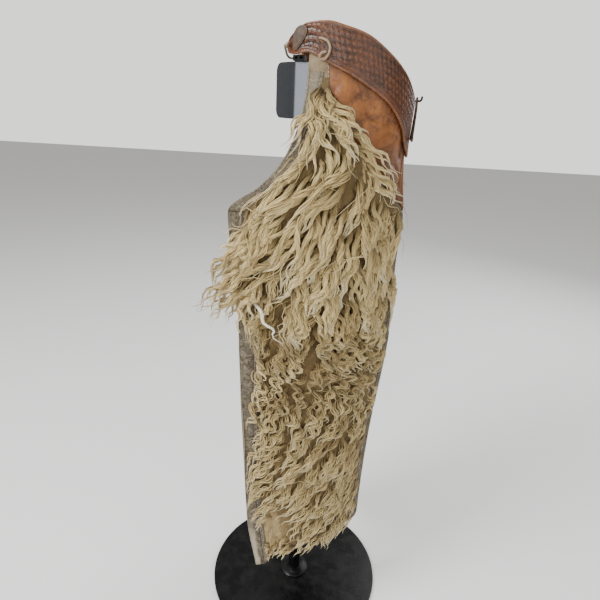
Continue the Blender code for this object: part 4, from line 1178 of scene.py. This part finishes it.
def softened(stops: np.ndarray, steps: int = 8) -> np.ndarray:
    """Smooth line through a few stops."""
    ends = np.concatenate([[2 * stops[0] - stops[1]], stops, [2 * stops[-1] - stops[-2]]])
    line = []
    for i in range(1, len(ends) - 2):
        before, first, last, after = ends[i - 1 : i + 3]
        for t in np.arange(steps) / steps:
            bend = (2 * before - 5 * first + 4 * last - after) * t**2 + (3 * first - before - 3 * last + after) * t**3
            line.append(0.5 * (2 * first + (last - before) * t + bend))
    return np.array(line + [stops[-1]])


def make_tube(name: str, stops: np.ndarray, radius: float, sign: float = 1.0, sides: int = 10) -> bpy.types.Object:
    """Round lace or wire through a few stops, closed at both ends."""
    line = softened(stops)
    ahead = unit(np.gradient(line, axis=0))
    side = unit(np.cross(ahead, np.array([0.31, 0.22, 0.92])))
    up = np.cross(side, ahead)
    turn = FULL_TURN * np.arange(sides) / sides
    size = np.full(len(line), radius)
    size[[0, -1]] *= 0.4
    ring = side[:, None] * np.cos(turn)[None, :, None] + up[:, None] * np.sin(turn)[None, :, None]
    points = line[:, None] + ring * size[:, None, None]
    index = np.arange(len(line) * sides).reshape(len(line), sides)
    ahead_index = np.roll(index, -1, axis=1)
    a, b, c, d = index[:-1], ahead_index[:-1], ahead_index[1:], index[1:]
    faces = np.concatenate([np.stack([a, b, c], -1).reshape(-1, 3), np.stack([a, c, d], -1).reshape(-1, 3)])
    fan = np.arange(1, sides - 1)
    last = (len(line) - 1) * sides
    start = np.stack([0 * fan, fan + 1, fan], -1)
    end = np.stack([0 * fan + last, last + fan, last + fan + 1], -1)
    return make_mesh(name, points, np.concatenate([faces, start, end]), sign)


@dataclass
class LockBatch:
    """Locks that share a way of growing, given by arrays with one number a lock."""

    z: np.ndarray
    share: np.ndarray
    length: np.ndarray
    lean: np.ndarray
    fall: float
    lift: float
    radius: float
    strands: int
    thickness: float
    follow: float = 1.0
    stops: int = 15
    clump: np.ndarray | None = None


@dataclass
class Coat:
    """Hair of one leg: a dense undercoat, twisted locks over it, and stray strands."""

    side: Side
    seed: int
    spacing: float = 0.0146
    strands: int = 5
    low_strands: int = 4
    low_stops: int = 18
    first_height: float = 0.006
    top: float = 1.006
    divide: float = 0.60

    def __post_init__(self) -> None:
        """Reads the coat's table."""
        self.rng = np.random.default_rng(self.seed)
        self.table = [Curve(COAT, column) for column in range(1, 11)]

    def build(self, hair: bpy.types.Material, white: bpy.types.Material, under: bpy.types.Material) -> None:
        """Makes the undercoat and every lock.

        Args:
            hair: Material of the locks.
            white: Material of the single white strand.
            under: Material of the undercoat.
        """
        self.undercoat(under)
        batch = self.coat_locks()
        high = batch.z > self.divide
        self.plait("coat_upper", self.part(batch, high, self.strands, batch.stops), hair, "fur")
        self.plait("coat_lower", self.part(batch, ~high, self.low_strands, self.low_stops), hair, "fur")
        self.plait("coat_strays", self.strays(), hair, "fur")
        self.plait("spray_locks", self.spray(), hair, "front_locks")
        self.plait("hip_locks", self.fan(), hair, "rear_locks")
        self.plait("crown_locks", self.crown(), hair, "fur")
        self.plait("white_strand", self.single(), white, "fur")

    @staticmethod
    def part(batch: LockBatch, chosen: np.ndarray, strands: int, stops: int) -> LockBatch:
        """Some of a batch's locks, with their own count of strands and of stops."""
        picked = {key: getattr(batch, key)[chosen] for key in ("z", "share", "length", "lean")}
        return replace(batch, **picked, strands=strands, stops=stops)

    @staticmethod
    def share_of(degrees: np.ndarray) -> np.ndarray:
        """Share of the chord at an angle."""
        return (1 - np.cos(np.radians(degrees))) / 2

    def span(self, z: np.ndarray) -> tuple[np.ndarray, np.ndarray]:
        """First and last share of the haired part at each height."""
        row = np.where(z < CROTCH, (z - HEM_TIP) / (CROTCH - HEM_TIP) * LEG_ROWS, 0.0)
        row = np.where(z >= CROTCH, LEG_ROWS + (z - CROTCH) / (HIDE_TOP - CROTCH) * (HIDE_ROWS - LEG_ROWS), row)
        front, rear = FORM.front_edge(z), FORM.rear_edge(z)
        first = np.where(z < CROTCH, INSEAM_COLUMNS, FORM.edging(row)) / HIDE_COLUMNS
        last = np.where(z < CROTCH, HIDE_COLUMNS - OUTSEAM_COLUMNS, HIDE_COLUMNS - 0.2) / HIDE_COLUMNS
        return self.share_of(front + (rear - front) * first), self.share_of(front + (rear - front) * last)

    @staticmethod
    def bare(z: np.ndarray, share: np.ndarray) -> np.ndarray:
        """How far the hair has worn away, from 0 to 1."""
        degrees = np.degrees(np.arccos(1 - 2 * np.clip(share, 0.001, 0.999)))
        left = np.ones_like(z)
        for centre, height, half_degrees, half_height, worn in WORN:
            away = ((degrees - centre) / half_degrees) ** 2 + ((z - height) / half_height) ** 2
            left = left * (1 - worn * np.exp(-away))
        return 1 - left

    def undercoat(self, under: bpy.types.Material) -> None:
        """Dense mat of hair close to the skin."""
        rows, columns = 124, 48
        row, across = grid_of(np.linspace(0.3, 29.6, rows), np.linspace(0.0, 1.0, columns))
        first = np.where(row <= LEG_ROWS, INSEAM_COLUMNS + 0.05, FORM.edging(row) + 0.1)
        last = np.where(row <= LEG_ROWS, HIDE_COLUMNS - OUTSEAM_COLUMNS - 0.1, HIDE_COLUMNS - 0.12)
        z, degrees = FORM.hide_place(row, first + (last - first) * across)
        worn = self.bare(z, self.share_of(degrees))
        rise = smooth(0.0, 0.10, np.minimum(across, 1 - across)) * smooth(0.2, 2.0, row) * smooth(29.6, 27.0, row)
        lumps = 1 + 0.35 * wander(z, degrees, 0.024, 1.0) + 0.20 * wander(z, degrees, 0.009, 2.0)
        depth = 0.0006 + self.table[0](z) * 0.42 * rise * lumps * (1 - worn)
        outer = FORM.at(z, degrees, HIDE_OUTER + 0.0008 + depth)
        # Painted shade in the dips between lumps, where along is low; worn patches are paler.
        values = {"along": np.clip(worn * 1.2 + 0.25 * lumps - 0.1, 0.0, 1.0), "tone": 0.5 + 0.5 * wander(z, degrees, 0.02, 3.0)}
        inner = FORM.at(z, degrees, HIDE_OUTER + 0.0004)
        piece = make_shell("undercoat_" + self.side.letter, outer, inner, self.side.sign, values)
        finish_piece(piece, under, "mohair", "fur_" + self.side.letter)

    def coat_locks(self) -> LockBatch:
        """Roots and ways of the main coat, set out on an uneven grid."""
        rows = np.arange(HEM_TIP + self.first_height, self.top, self.spacing)
        z, share = [], []
        for index, height in enumerate(rows):
            first, last = self.span(np.array(height))
            degrees = np.degrees(np.arccos(1 - 2 * np.array([first, last])))
            ends = FORM.base(np.array([height, height]), degrees)
            count = max(int(np.linalg.norm(ends[1] - ends[0]) * 1.06 / self.spacing), 2)
            at = (np.arange(count) + 0.5 * (index % 2) + self.rng.uniform(0.0, 0.5, count)) / count
            z += list(height + self.rng.uniform(-0.4, 0.4, count) * self.spacing)
            share += list(first + (last - first) * np.clip(at, 0.01, 0.99))
        z, share = np.array(z), np.array(share)
        hem = HEM_TIP + FORM.hem_lift(np.degrees(np.arccos(1 - 2 * share))) + self.first_height
        length = self.table[1](z) * self.rng.uniform(0.72, 1.15, len(z)) * (1 - 0.45 * self.bare(z, share))
        worn = self.bare(z, share)
        for part in (0.4, 0.8):
            fall = np.radians(self.table[3](z))
            end = (z - part * length * np.cos(fall), share - part * length * np.sin(fall) / 0.155)
            worn = np.maximum(worn, self.bare(*end))
        kept = (z > hem) & (self.rng.uniform(0.0, 1.0, len(z)) > 1.05 * worn)
        z, share, length = z[kept], share[kept], length[kept]
        lean = self.rng.normal(0.0, 11.0, len(z))
        return LockBatch(z, share, length, lean, 0.0, 1.0, 0.0037, self.strands, 0.00115)

    def strays(self) -> LockBatch:
        """Single strands that stand off the coat."""
        count = 110
        z = self.rng.uniform(0.20, 1.02, count)
        first, last = self.span(z)
        share = first + (last - first) * self.rng.uniform(0.02, 0.98, count)
        length = self.table[1](z) * self.rng.uniform(0.7, 1.3, count)
        return LockBatch(z, share, length, self.rng.normal(0.0, 34.0, count), 0.0, 1.35, 0.0005, 1, 0.00055)

    def spray(self) -> LockBatch:
        """Long locks that run forward past the inseam and then fall."""
        count = 44
        place = (np.arange(count) + self.rng.uniform(0.0, 1.0, count)) / count
        z = 0.716 + 0.100 * place
        share = self.rng.uniform(0.07, 0.17, count)
        length = 0.050 + 0.068 * np.exp(-(((place - 0.30) / 0.32) ** 2)) * self.rng.uniform(0.7, 1.1, count)
        lean = 66.0 - 12.0 * place + self.rng.normal(0.0, 7.0, count)
        return LockBatch(z, share, length, lean, 30.0, 0.9, 0.0030, 4, 0.0011, 0.0)

    def crown(self) -> LockBatch:
        """Thick tangled locks under the belt, where the coat starts."""
        count = 22
        z = self.rng.uniform(0.955, 1.004, count)
        first, last = self.span(z)
        place = (np.arange(count) + 0.5) / count
        share = first + (last - first) * place
        length = self.rng.uniform(0.050, 0.105, count)
        lean = 16.0 - 58.0 * place + self.rng.normal(0.0, 12.0, count)
        return LockBatch(z, share, length, lean, 0.0, 1.25, 0.0042, 5, 0.00125, 0.0)

    def single(self) -> LockBatch:
        """One white strand that stands off the coat over the inseam."""
        place = [np.array([value]) for value in (0.706, 0.085, 0.098, -34.0)]
        return LockBatch(*place, -20.0, 2.0, 0.0015, 3, 0.0013, 0.0)

    def fan(self) -> LockBatch:
        """Pale locks that fall back over the hip panel."""
        count = 17
        place = (np.arange(count) + self.rng.uniform(0.0, 0.8, count)) / count
        z = 0.880 + 0.085 * place
        share = self.share_of(FORM.rear_edge(z) - 5.0)
        length = (0.092 + 0.034 * np.sin(2.2 * place)) * self.rng.uniform(0.75, 1.1, count)
        lean = -58.0 + self.rng.normal(0.0, 7.0, count)
        return LockBatch(z, share, length, lean, -14.0, 0.72, 0.0024, 4, 0.0009, 0.0)

    def centre_lines(self, batch: LockBatch) -> tuple[np.ndarray, np.ndarray]:
        """Middle line of every lock, followed over the surface step by step.

        Args:
            batch: The locks.

        Returns:
            Points and normals, both locks by stops by three.
        """
        count = len(batch.z)
        z, share = batch.z.copy(), batch.share.copy()
        step = batch.length / (batch.stops - 1)
        phase = self.rng.uniform(0.0, FULL_TURN, count)
        swing = self.rng.uniform(0.7, 1.3, count)
        layer = self.rng.uniform(0.55, 1.15, count) * batch.lift
        depth_here = self.table[0](batch.z) * (1 - 0.6 * self.bare(batch.z, batch.share))
        points, normals = [], []
        for stop in range(batch.stops):
            t = stop / (batch.stops - 1)
            gone = step * stop
            wave, pitch, curl = [self.table[column](z) for column in (5, 6, 7)]
            turn = FULL_TURN * gone / (pitch * swing) + phase
            rise = 1 - (1 - min(1.0, 3.2 * t)) ** 2
            first, last = self.span(z)
            across = np.clip((share - first) / np.maximum(last - first, 0.05), 0.0, 1.0)
            near_rear = 1 - 0.55 * smooth(0.66, 1.0, across) * batch.follow
            lift = depth_here * layer * rise * (1 - 0.32 * t * t) + curl * (1 + np.cos(turn)) * min(1.0, 3 * t)
            place, normal = FORM.beyond(z, share, 0.0030 + lift * near_rear)
            points.append(place)
            normals.append(normal)
            front, middle, rear = [self.table[column](z) for column in (2, 3, 4)]
            way = np.where(across < 0.5, front + (middle - front) * 2 * across, middle + (rear - middle) * (2 * across - 1))
            degrees = np.degrees(np.arccos(1 - 2 * np.clip(share, 0.001, 0.999)))
            way = way + 15.0 * wander(z, degrees, 0.085, self.seed * 1.0)
            heading = np.radians(batch.follow * way + batch.lean - batch.fall * t + wave * np.sin(turn) * swing)
            chord = np.hypot(FORM.plan[2](z) - FORM.plan[0](z), FORM.plan[3](z) - FORM.plan[1](z))
            sideways = step * np.sin(heading) / chord
            if batch.follow:
                reach = 0.015 + 0.035 * smooth(0.84, 0.80, z) + 0.05 * smooth(0.56, 0.46, z) * smooth(0.22, 0.28, z)
                reach = reach + 0.17 * smooth(0.84, 0.78, z) * smooth(0.65, 0.71, z)
                before = np.clip((share - first + reach) / 0.07, 0.0, 1.0)
                over = 0.020 + 0.065 * (1 - smooth(0.42, 0.48, z) * smooth(0.72, 0.65, z))
                behind = np.clip((last + over - share) / 0.06, 0.0, 1.0)
                sideways = np.where(sideways > 0, sideways * before, sideways * behind)
            z = z - step * np.cos(heading)
            share = share - sideways
        return self.gathered(batch, np.stack(points, axis=1)), np.stack(normals, axis=1)

    def gathered(self, batch: LockBatch, centre: np.ndarray) -> np.ndarray:
        """Draws the coat's locks together towards their tips, several to a clump."""
        if batch.strands == 1 or not batch.follow:
            return centre
        leaders = self.rng.choice(len(centre), len(centre) // 5, replace=False)
        halfway = centre[:, batch.stops // 3]
        away = np.linalg.norm(halfway[:, None] - halfway[leaders][None], axis=2)
        lead = leaders[np.argmin(away, axis=1)]
        t = np.linspace(0.0, 1.0, batch.stops)[None, :, None]
        firm = (self.table[9](batch.z[lead]) * self.rng.uniform(0.75, 1.1, len(centre)))[:, None, None]
        pull = np.clip(firm, 0.0, 0.93) * np.clip(1.25 * t, 0.0, 1.0) ** 0.9
        batch.clump = lead
        return centre + pull * (centre[lead] - centre)

    @staticmethod
    def strand(
        path: np.ndarray, size: np.ndarray, side: np.ndarray, lift: np.ndarray, tone: np.ndarray, corners: int
    ) -> tuple[np.ndarray, np.ndarray, dict[str, np.ndarray]]:
        """Closed tube round each of many paths.

        Args:
            path: Paths by stops by three.
            size: Radius at each stop.
            side: Direction across each path, the first of the tube's two axes.
            lift: Direction off the skin, the other axis.
            tone: One number a path.
            corners: Sides of the tube.

        Returns:
            Points, triangles and the values that the finish reads.
        """
        count, stops = path.shape[:2]
        turn = FULL_TURN * np.arange(corners) / corners
        wide = side[:, :, None, :] * np.cos(turn)[None, None, :, None]
        high = lift[:, :, None, :] * np.sin(turn)[None, None, :, None]
        points = path[:, :, None, :] + (wide + high) * size[:, :, None, None]
        index = np.arange(count * stops * corners).reshape(count, stops, corners)
        after = np.roll(index, -1, axis=2)
        a, b, c, d = index[:, :-1], after[:, :-1], after[:, 1:], index[:, 1:]
        faces = [np.stack([a, b, c], -1).reshape(-1, 3), np.stack([a, c, d], -1).reshape(-1, 3)]
        for corner in range(1, corners - 1):
            faces.append(index[:, 0][:, [0, corner + 1, corner]])
            faces.append(index[:, -1][:, [0, corner, corner + 1]])
        along = np.broadcast_to(np.linspace(0.0, 1.0, stops)[None, :, None], index.shape)
        values = {"along": along, "tone": np.broadcast_to(tone[:, None, None], index.shape)}
        values["turn_x"] = np.broadcast_to(np.cos(turn)[None, None, :], index.shape)
        values["turn_y"] = np.broadcast_to(np.sin(turn)[None, None, :], index.shape)
        return points.reshape(-1, 3), np.concatenate(faces), {key: value.reshape(-1) for key, value in values.items()}

    def plait(self, name: str, batch: LockBatch, hair: bpy.types.Material, node: str) -> None:
        """Makes the strands of each lock, wound round its middle line, and joins them in one piece.

        Args:
            name: Name of the piece without its side.
            batch: The locks.
            hair: Their material.
            node: The solid that they stand for, without its side.
        """
        centre, normal = self.centre_lines(batch)
        count, stops = centre.shape[:2]
        t = np.linspace(0.0, 1.0, stops)
        ahead = unit(np.gradient(centre, axis=1))
        across = unit(np.cross(ahead, normal))
        up = np.cross(across, ahead)
        turns = self.rng.uniform(0.7, 1.7, count) * batch.length / 0.060 * self.rng.choice([-1.0, 1.0], count)
        start = self.rng.uniform(0.0, FULL_TURN, count)
        tone = 0.45 + 0.35 * wander(batch.z, batch.share * 180, 0.06, 2.0) + self.rng.normal(0, 0.26, count)
        # Darker around 0.6 m high, lighter above 0.84 m and below 0.42 m.
        tone = tone + 0.28 * smooth(0.16, 0.05, np.abs(batch.z - 0.60)) - 0.26 * smooth(0.84, 0.94, batch.z)
        tone = tone - 0.14 * smooth(0.42, 0.34, batch.z)
        if batch.clump is not None:
            tone = 0.35 * tone + 0.65 * tone[batch.clump]
        tone = np.clip(tone, 0.0, 1.0)
        body = batch.radius * self.rng.uniform(0.7, 1.25, count)
        thick = batch.thickness * self.table[8](batch.z) ** 0.5
        meshes = []
        if batch.strands > 1:
            core = 1.5 * thick * self.table[8](batch.z) ** 0.4
            swell = (0.55 + 0.6 * np.sin(math.pi * np.minimum(1.0, 1.2 * t + 0.1))) * (1 - t) ** 0.7 + 0.04
            meshes.append(self.strand(centre, core[:, None] * swell[None, :], across, up, tone, 5))
        for strand in range(batch.strands - 1 if batch.strands > 1 else 1):
            angle = start + FULL_TURN * strand / max(batch.strands - 1, 1) + self.rng.normal(0.0, 0.35, count)
            angle = angle[:, None] + FULL_TURN * turns[:, None] * t[None, :]
            swell = (0.45 + 0.75 * np.sin(math.pi * np.minimum(1.0, 1.25 * t + 0.1))) * (1 - t) ** 0.45 + 0.05
            loose = body[:, None] * swell[None, :] * self.rng.uniform(0.75, 1.3, count)[:, None]
            round_it = across * np.cos(angle)[..., None] + up * (0.7 * np.sin(angle))[..., None]
            size = (thick * self.rng.uniform(0.75, 1.25, count))[:, None] * (1 - 0.70 * t[None, :] ** 1.6)
            ends = self.rng.uniform(0.74, 1.02, count)[:, None]
            size = size * np.clip((ends - t[None, :]) / 0.30, 0.03, 1.0) ** 0.8
            shade = np.clip(tone + self.rng.normal(0.0, 0.10, count), 0.0, 1.0)
            meshes.append(self.strand(centre + round_it * loose[..., None], size, across, up, shade, 3))
        starts = np.cumsum([0] + [len(mesh[0]) for mesh in meshes])
        points = np.concatenate([mesh[0] for mesh in meshes])
        faces = np.concatenate([mesh[1] + first for mesh, first in zip(meshes, starts)])
        values = {key: np.concatenate([mesh[2][key] for mesh in meshes]) for key in ("along", "tone", "turn_x", "turn_y")}
        LOG.info("%s_%s: %d locks, %d triangles", name, self.side.letter, count, len(faces))
        piece = make_mesh(name + "_" + self.side.letter, points, faces, self.side.sign, values)
        finish_piece(piece, hair, "mohair", node + "_" + self.side.letter)


@dataclass
class Stand:
    """Black stand: turned base, hub and pole, bent sheet form, bars, brackets and rear hook."""

    base_radius: float = 0.178
    base_height: float = 0.007
    hub_radius: float = 0.030
    hub_height: float = 0.016
    pole_radius: float = 0.0125
    pole_top: float = 1.010
    seam: float = 0.0003
    wall: float = 0.0020
    low: float = 0.962
    high: float = 1.0375
    corner: float = 0.012
    bend_radius: float = 0.007
    hook_height: float = 0.9935
    hook_end: float = 0.1585

    def build(self, black: bpy.types.Material, dull: bpy.types.Material, steel: bpy.types.Material) -> None:
        """Makes the finer pieces and dresses the solids that stay."""
        edge = 0.0018
        base = [(0.0, 0.0), (self.base_radius - edge, 0.0)]
        base += self.round_edge(self.base_radius, edge, edge, -90.0, 0.0)
        base += self.round_edge(self.base_radius, self.base_height - edge, edge, 0.0, 90.0)
        base.append((0.0, self.base_height))
        self.turned("round_base", base, 144, black, "stand_base")
        foot = self.base_height + self.seam
        hub = [(0.0, foot), (self.hub_radius, foot), (self.hub_radius, foot + 0.003)]
        hub += [(self.hub_radius - 0.002, foot + 0.0045), (self.pole_radius + 0.006, self.hub_height), (0.0, self.hub_height)]
        self.turned("pole_hub", hub, 64, black, "stand_hub")
        pole = [(0.0, self.hub_height + self.seam), (self.pole_radius, self.hub_height + self.seam)]
        pole += [(self.pole_radius, z) for z in (0.30, 0.60, 0.90)]
        pole += [(self.pole_radius, self.pole_top - 0.0015), (self.pole_radius - 0.0015, self.pole_top), (0.0, self.pole_top)]
        self.turned("upright_pole", pole, 48, black, "stand_pole")
        self.hip_form(steel)
        self.hook(dull)
        for letter in "LR":
            for node in ("cross_bar_", "front_bracket_"):
                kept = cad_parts[node + letter]
                kept.data.materials.clear()
                kept.data.materials.append(dull)
                bevel = kept.modifiers.new("softened edges", "BEVEL")
                bevel.width = 0.0005
                bevel.segments = 2

    @staticmethod
    def round_edge(radius: float, height: float, size: float, first: float, last: float) -> list[tuple[float, float]]:
        """Quarter round of a turned profile."""
        stops = np.radians(np.linspace(first, last, 6))
        return [(radius - size + size * math.cos(a), height + size * math.sin(a)) for a in stops]

    @staticmethod
    def turned(name: str, profile: list[tuple[float, float]], steps: int, skin: bpy.types.Material, node: str) -> None:
        """Piece turned round the pole's axis from radius and height pairs."""
        turn = FULL_TURN * np.arange(steps) / steps
        rings = [np.stack([r * np.cos(turn), r * np.sin(turn), 0 * turn + z], -1) for r, z in profile[1:-1]]
        points = np.concatenate([[[0.0, 0.0, profile[0][1]]], *rings, [[0.0, 0.0, profile[-1][1]]]])
        faces = []
        last = len(points) - 1
        for step in range(steps):
            after = (step + 1) % steps
            faces += [(0, 1 + after, 1 + step), (last, last - steps + step, last - steps + after)]
            for ring in range(len(rings) - 1):
                a, b = 1 + ring * steps + step, 1 + ring * steps + after
                faces += [(a, b, b + steps), (a, b + steps, a + steps)]
        piece = make_mesh(name, points, np.array(faces))
        piece.data.set_sharp_from_angle(angle=math.radians(35))
        finish_piece(piece, skin, "black_enamel", node)

    def hip_form(self, steel: bpy.types.Material) -> None:
        """Sheet bent to a hip's shape, its bends rounded and the wings' corners cut round."""
        half = [(0.036, -0.057), (0.064, -0.030), (0.064, 0.050), (0.036, 0.078)]
        plan = [np.array([-x, y]) for x, y in half] + [np.array(place) for place in reversed(half)]
        line = [plan[0]]
        for before, bend, after in zip(plan, plan[1:], plan[2:]):
            back, on = unit(before - bend), unit(after - bend)
            reach = min(self.bend_radius, 0.4 * float(np.linalg.norm(before - bend)))
            for t in np.linspace(0.0, 1.0, 7):
                line.append(bend + back * reach * (1 - t) ** 2 + on * reach * t**2)
        line.append(plan[-1])
        gone = np.concatenate([[0.0], np.cumsum([float(np.linalg.norm(b - a)) for a, b in zip(line, line[1:])])])
        ends = self.corner * (1 - np.cos(np.linspace(0.0, math.pi / 2, 8)))
        where = np.unique(np.round(np.concatenate([ends, gone[1:-1], gone[-1] - ends]), 6))
        path = np.stack([np.interp(where, gone, [p[axis] for p in line]) for axis in range(2)], -1)
        ahead = unit(np.gradient(path, axis=0))
        inward = np.stack([ahead[:, 1], -ahead[:, 0]], -1)
        near = np.clip(self.corner - np.minimum(where, gone[-1] - where), 0.0, self.corner)
        cut = self.corner - np.sqrt(np.maximum(self.corner**2 - near**2, 0.0))
        rows = np.linspace(0.0, 1.0, 14)
        z = (self.low + cut)[None, :] + rows[:, None] * (self.high - self.low - 2 * cut)[None, :]
        grids = []
        for off in (0.0, self.wall):
            flat = path + inward * off
            grids.append(np.stack([np.broadcast_to(flat[:, 0], z.shape), np.broadcast_to(flat[:, 1], z.shape), z], -1))
        piece = make_mesh("bent_form", np.concatenate([grid.reshape(-1, 3) for grid in grids]), shell_faces(*z.shape)[:, ::-1])
        piece.data.set_sharp_from_angle(angle=math.radians(50))
        finish_piece(piece, steel, "sheet_steel", "hip_form")

    def hook(self, black: bpy.types.Material) -> None:
        """Wire hook behind the form, turned up at its end."""
        stops = [(0.0, 0.0783, self.hook_height), (0.0, 0.120, self.hook_height), (0.0, 0.152, self.hook_height)]
        stops += [(0.0, self.hook_end - 0.0008, self.hook_height + 0.0016), (0.0, self.hook_end + 0.0004, self.hook_height + 0.0072)]
        piece = make_tube("wire_hook", np.array(stops), 0.0016)
        finish_piece(piece, black, "black_enamel", "rear_hook")


@dataclass
class Laces:
    """Laces that join the belt's halves behind, over the hook, and across the gap in front."""

    radius: float = 0.0016
    lift: float = 0.00376
    hook_height: float = 0.9935

    def build(self, skin: bpy.types.Material, dark: bpy.types.Material) -> None:
        """Makes both laces, each with a knot at both ends."""
        held = [FORM.at(np.array(z), np.array(168.0), BELT_OUTER + self.lift) for z in (0.940, 0.955)]
        over = self.hook_height + 2 * self.radius + 0.0006
        rear = max(held[0][1], held[1][1]) + 0.001
        free = [(0.0085, rear, over - 0.0191), (0.0042, rear, over - 0.0012), (0.0018, rear, over), (0.0, rear, over + 0.0003)]
        half = [held[0], held[0] + 0.3 * (held[1] - held[0])] + [np.array(place) for place in free]
        self.lace("rear_lace_cord", half, "back_lace", dark)
        held = [FORM.at(np.array(1.0565), np.array(degrees), BELT_OUTER + self.lift) for degrees in (11.0, 7.0, 3.0)]
        free = [(0.0450, -0.0425, 1.0530), (0.0240, -0.0440, 1.0485), (0.0, -0.0445, 1.0470)]
        self.lace("front_lace_cord", held + [np.array(place) for place in free], "front_lace", skin)

    def lace(self, name: str, half: list[np.ndarray], node: str, skin: bpy.types.Material) -> None:
        """Lace whose left half ends midway."""
        other = [place * np.array([-1.0, 1.0, 1.0]) for place in reversed(half[:-1])]
        stops = np.array(half + other)
        piece = make_tube(name, stops, self.radius)
        finish_piece(piece, skin, "lace_leather", node)
        for end, letter in ((0, "L"), (-1, "R")):
            turn = np.linspace(0.0, FULL_TURN * 1.15, 12)
            ring = np.stack([0.0022 * np.cos(turn), 0.0009 * np.sin(2 * turn), 0.0026 * np.sin(turn)], -1)
            knot = make_tube(f"{name}_knot_{letter}", stops[end] + ring, 0.0013)
            finish_piece(knot, skin, "lace_leather")


@dataclass
class Studio:
    """Pale floor and wall, soft lights, and the camera at the photograph's angle."""

    azimuth: float = 98.0
    pitch: float = 21.5
    roll: float = 2.5
    distance: float = 0.834
    aside: float = -0.0126
    height: float = 0.984
    focal_share: float = 500.0 / 600.0
    sensor: float = 36.0

    def build(self) -> None:
        """Sets up the floor, the lights and the camera."""
        self.floor()
        self.world()
        self.light("key", (1.3, -1.6, 2.3), 0.9, 76.0)
        self.light("fill", (1.9, 1.6, 1.3), 1.8, 14.0)
        self.light("front", (2.3, -0.35, 1.10), 0.9, 16.0)
        self.light("top", (-0.6, 0.1, 2.9), 1.6, 26.0)
        self.light("rear", (-1.7, 1.3, 1.7), 1.5, 26.0)
        self.camera()

    def floor(self) -> None:
        """Wide plain floor."""
        points = np.array([(-9.0, -9.0, -0.0004), (9.0, -9.0, -0.0004), (9.0, 9.0, -0.0004), (-9.0, 9.0, -0.0004)])
        plane = make_mesh("studio_floor", points, np.array([(0, 1, 2, 3)]))
        material, _, shader = new_material("pale floor")
        shader.inputs["Base Color"].default_value = (0.90, 0.895, 0.89, 1.0)
        shader.inputs["Roughness"].default_value = 0.75
        plane.data.materials.append(material)

    def world(self) -> None:
        """Even pale surroundings."""
        world = bpy.data.worlds.new("studio")
        world.use_nodes = True
        background = world.node_tree.nodes["Background"]
        background.inputs["Color"].default_value = (0.94, 0.93, 0.91, 1.0)
        seen = world.node_tree.nodes.new("ShaderNodeLightPath").outputs["Is Camera Ray"]
        span = world.node_tree.nodes.new("ShaderNodeMapRange")
        span.inputs["To Min"].default_value = 0.56
        span.inputs["To Max"].default_value = 1.55
        world.node_tree.links.new(seen, span.inputs["Value"])
        world.node_tree.links.new(span.outputs[0], background.inputs["Strength"])
        bpy.context.scene.world = world

    def light(self, name: str, place: tuple[float, float, float], size: float, power: float) -> None:
        """Soft square light that faces the garment."""
        data = bpy.data.lights.new(name, "AREA")
        data.size = size
        data.energy = power
        lamp = bpy.data.objects.new(name, data)
        lamp.location = place
        lamp.rotation_euler = (Vector((0.0, 0.0, 0.62)) - Vector(place)).to_track_quat("-Z", "Y").to_euler()
        bpy.context.scene.collection.objects.link(lamp)

    def camera(self) -> None:
        """Camera where the photograph was taken, in the object's frame."""
        turn = math.radians(self.azimuth)
        right = Vector((math.cos(turn), math.sin(turn), 0.0))
        away = Vector((-math.sin(turn), math.cos(turn), 0.0))
        pitch, roll = math.radians(self.pitch), math.radians(self.roll)
        forward = away * math.cos(pitch) - Vector((0.0, 0.0, math.sin(pitch)))
        up = away * math.sin(pitch) + Vector((0.0, 0.0, math.cos(pitch)))
        x_axis = right * math.cos(roll) + up * math.sin(roll)
        y_axis = up * math.cos(roll) - right * math.sin(roll)
        data = bpy.data.cameras.new("photograph")
        data.sensor_width = self.sensor
        data.lens = self.sensor * self.focal_share
        data.clip_start = 0.02
        camera = bpy.data.objects.new("photograph", data)
        turned = Matrix((x_axis, y_axis, -forward)).transposed().to_4x4()
        place = right * self.aside - away * self.distance + Vector((0.0, 0.0, self.height))
        camera.matrix_world = Matrix.Translation(place) @ turned
        bpy.context.scene.collection.objects.link(camera)
        bpy.context.scene.camera = camera


def main() -> None:
    """Builds the stand, both legs, the belt and the studio, in that order."""
    logging.basicConfig(level=logging.INFO, format="%(name)s: %(message)s")
    black, steel = BLACK.material(), STEEL.material()
    thread, pale_thread = THREAD.material(), PALE_THREAD.material()
    hair, white, under = HAIR.material(), WHITE_HAIR.material(), UNDERCOAT.material()
    leathers = {
        "hide": HIDE_SKIN.material(),
        "edging": EDGING.material(),
        "back": BACK_LEATHER.material(),
        "hip": HIP_LEATHER.material(),
        "belt": BELT_LEATHER.material(),
        "tab": TAB_LEATHER.material(),
        "lace": LACE_LEATHER.material(),
    }
    Stand().build(black, DULL_BLACK.material(), steel)
    for side, seed, spacing in ((Side.LEFT, 11, 0.0144), (Side.RIGHT, 23, 0.0164)):
        BeltHalf(side).build({**leathers, "thread": thread})
        LegLeather(side).build({**leathers, "thread": pale_thread})
        Coat(side, seed, spacing).build(hair, white, under)
    Laces().build(leathers["lace"], BACK_LACE.material())
    Studio().build()


if __name__ == "__main__":
    main()
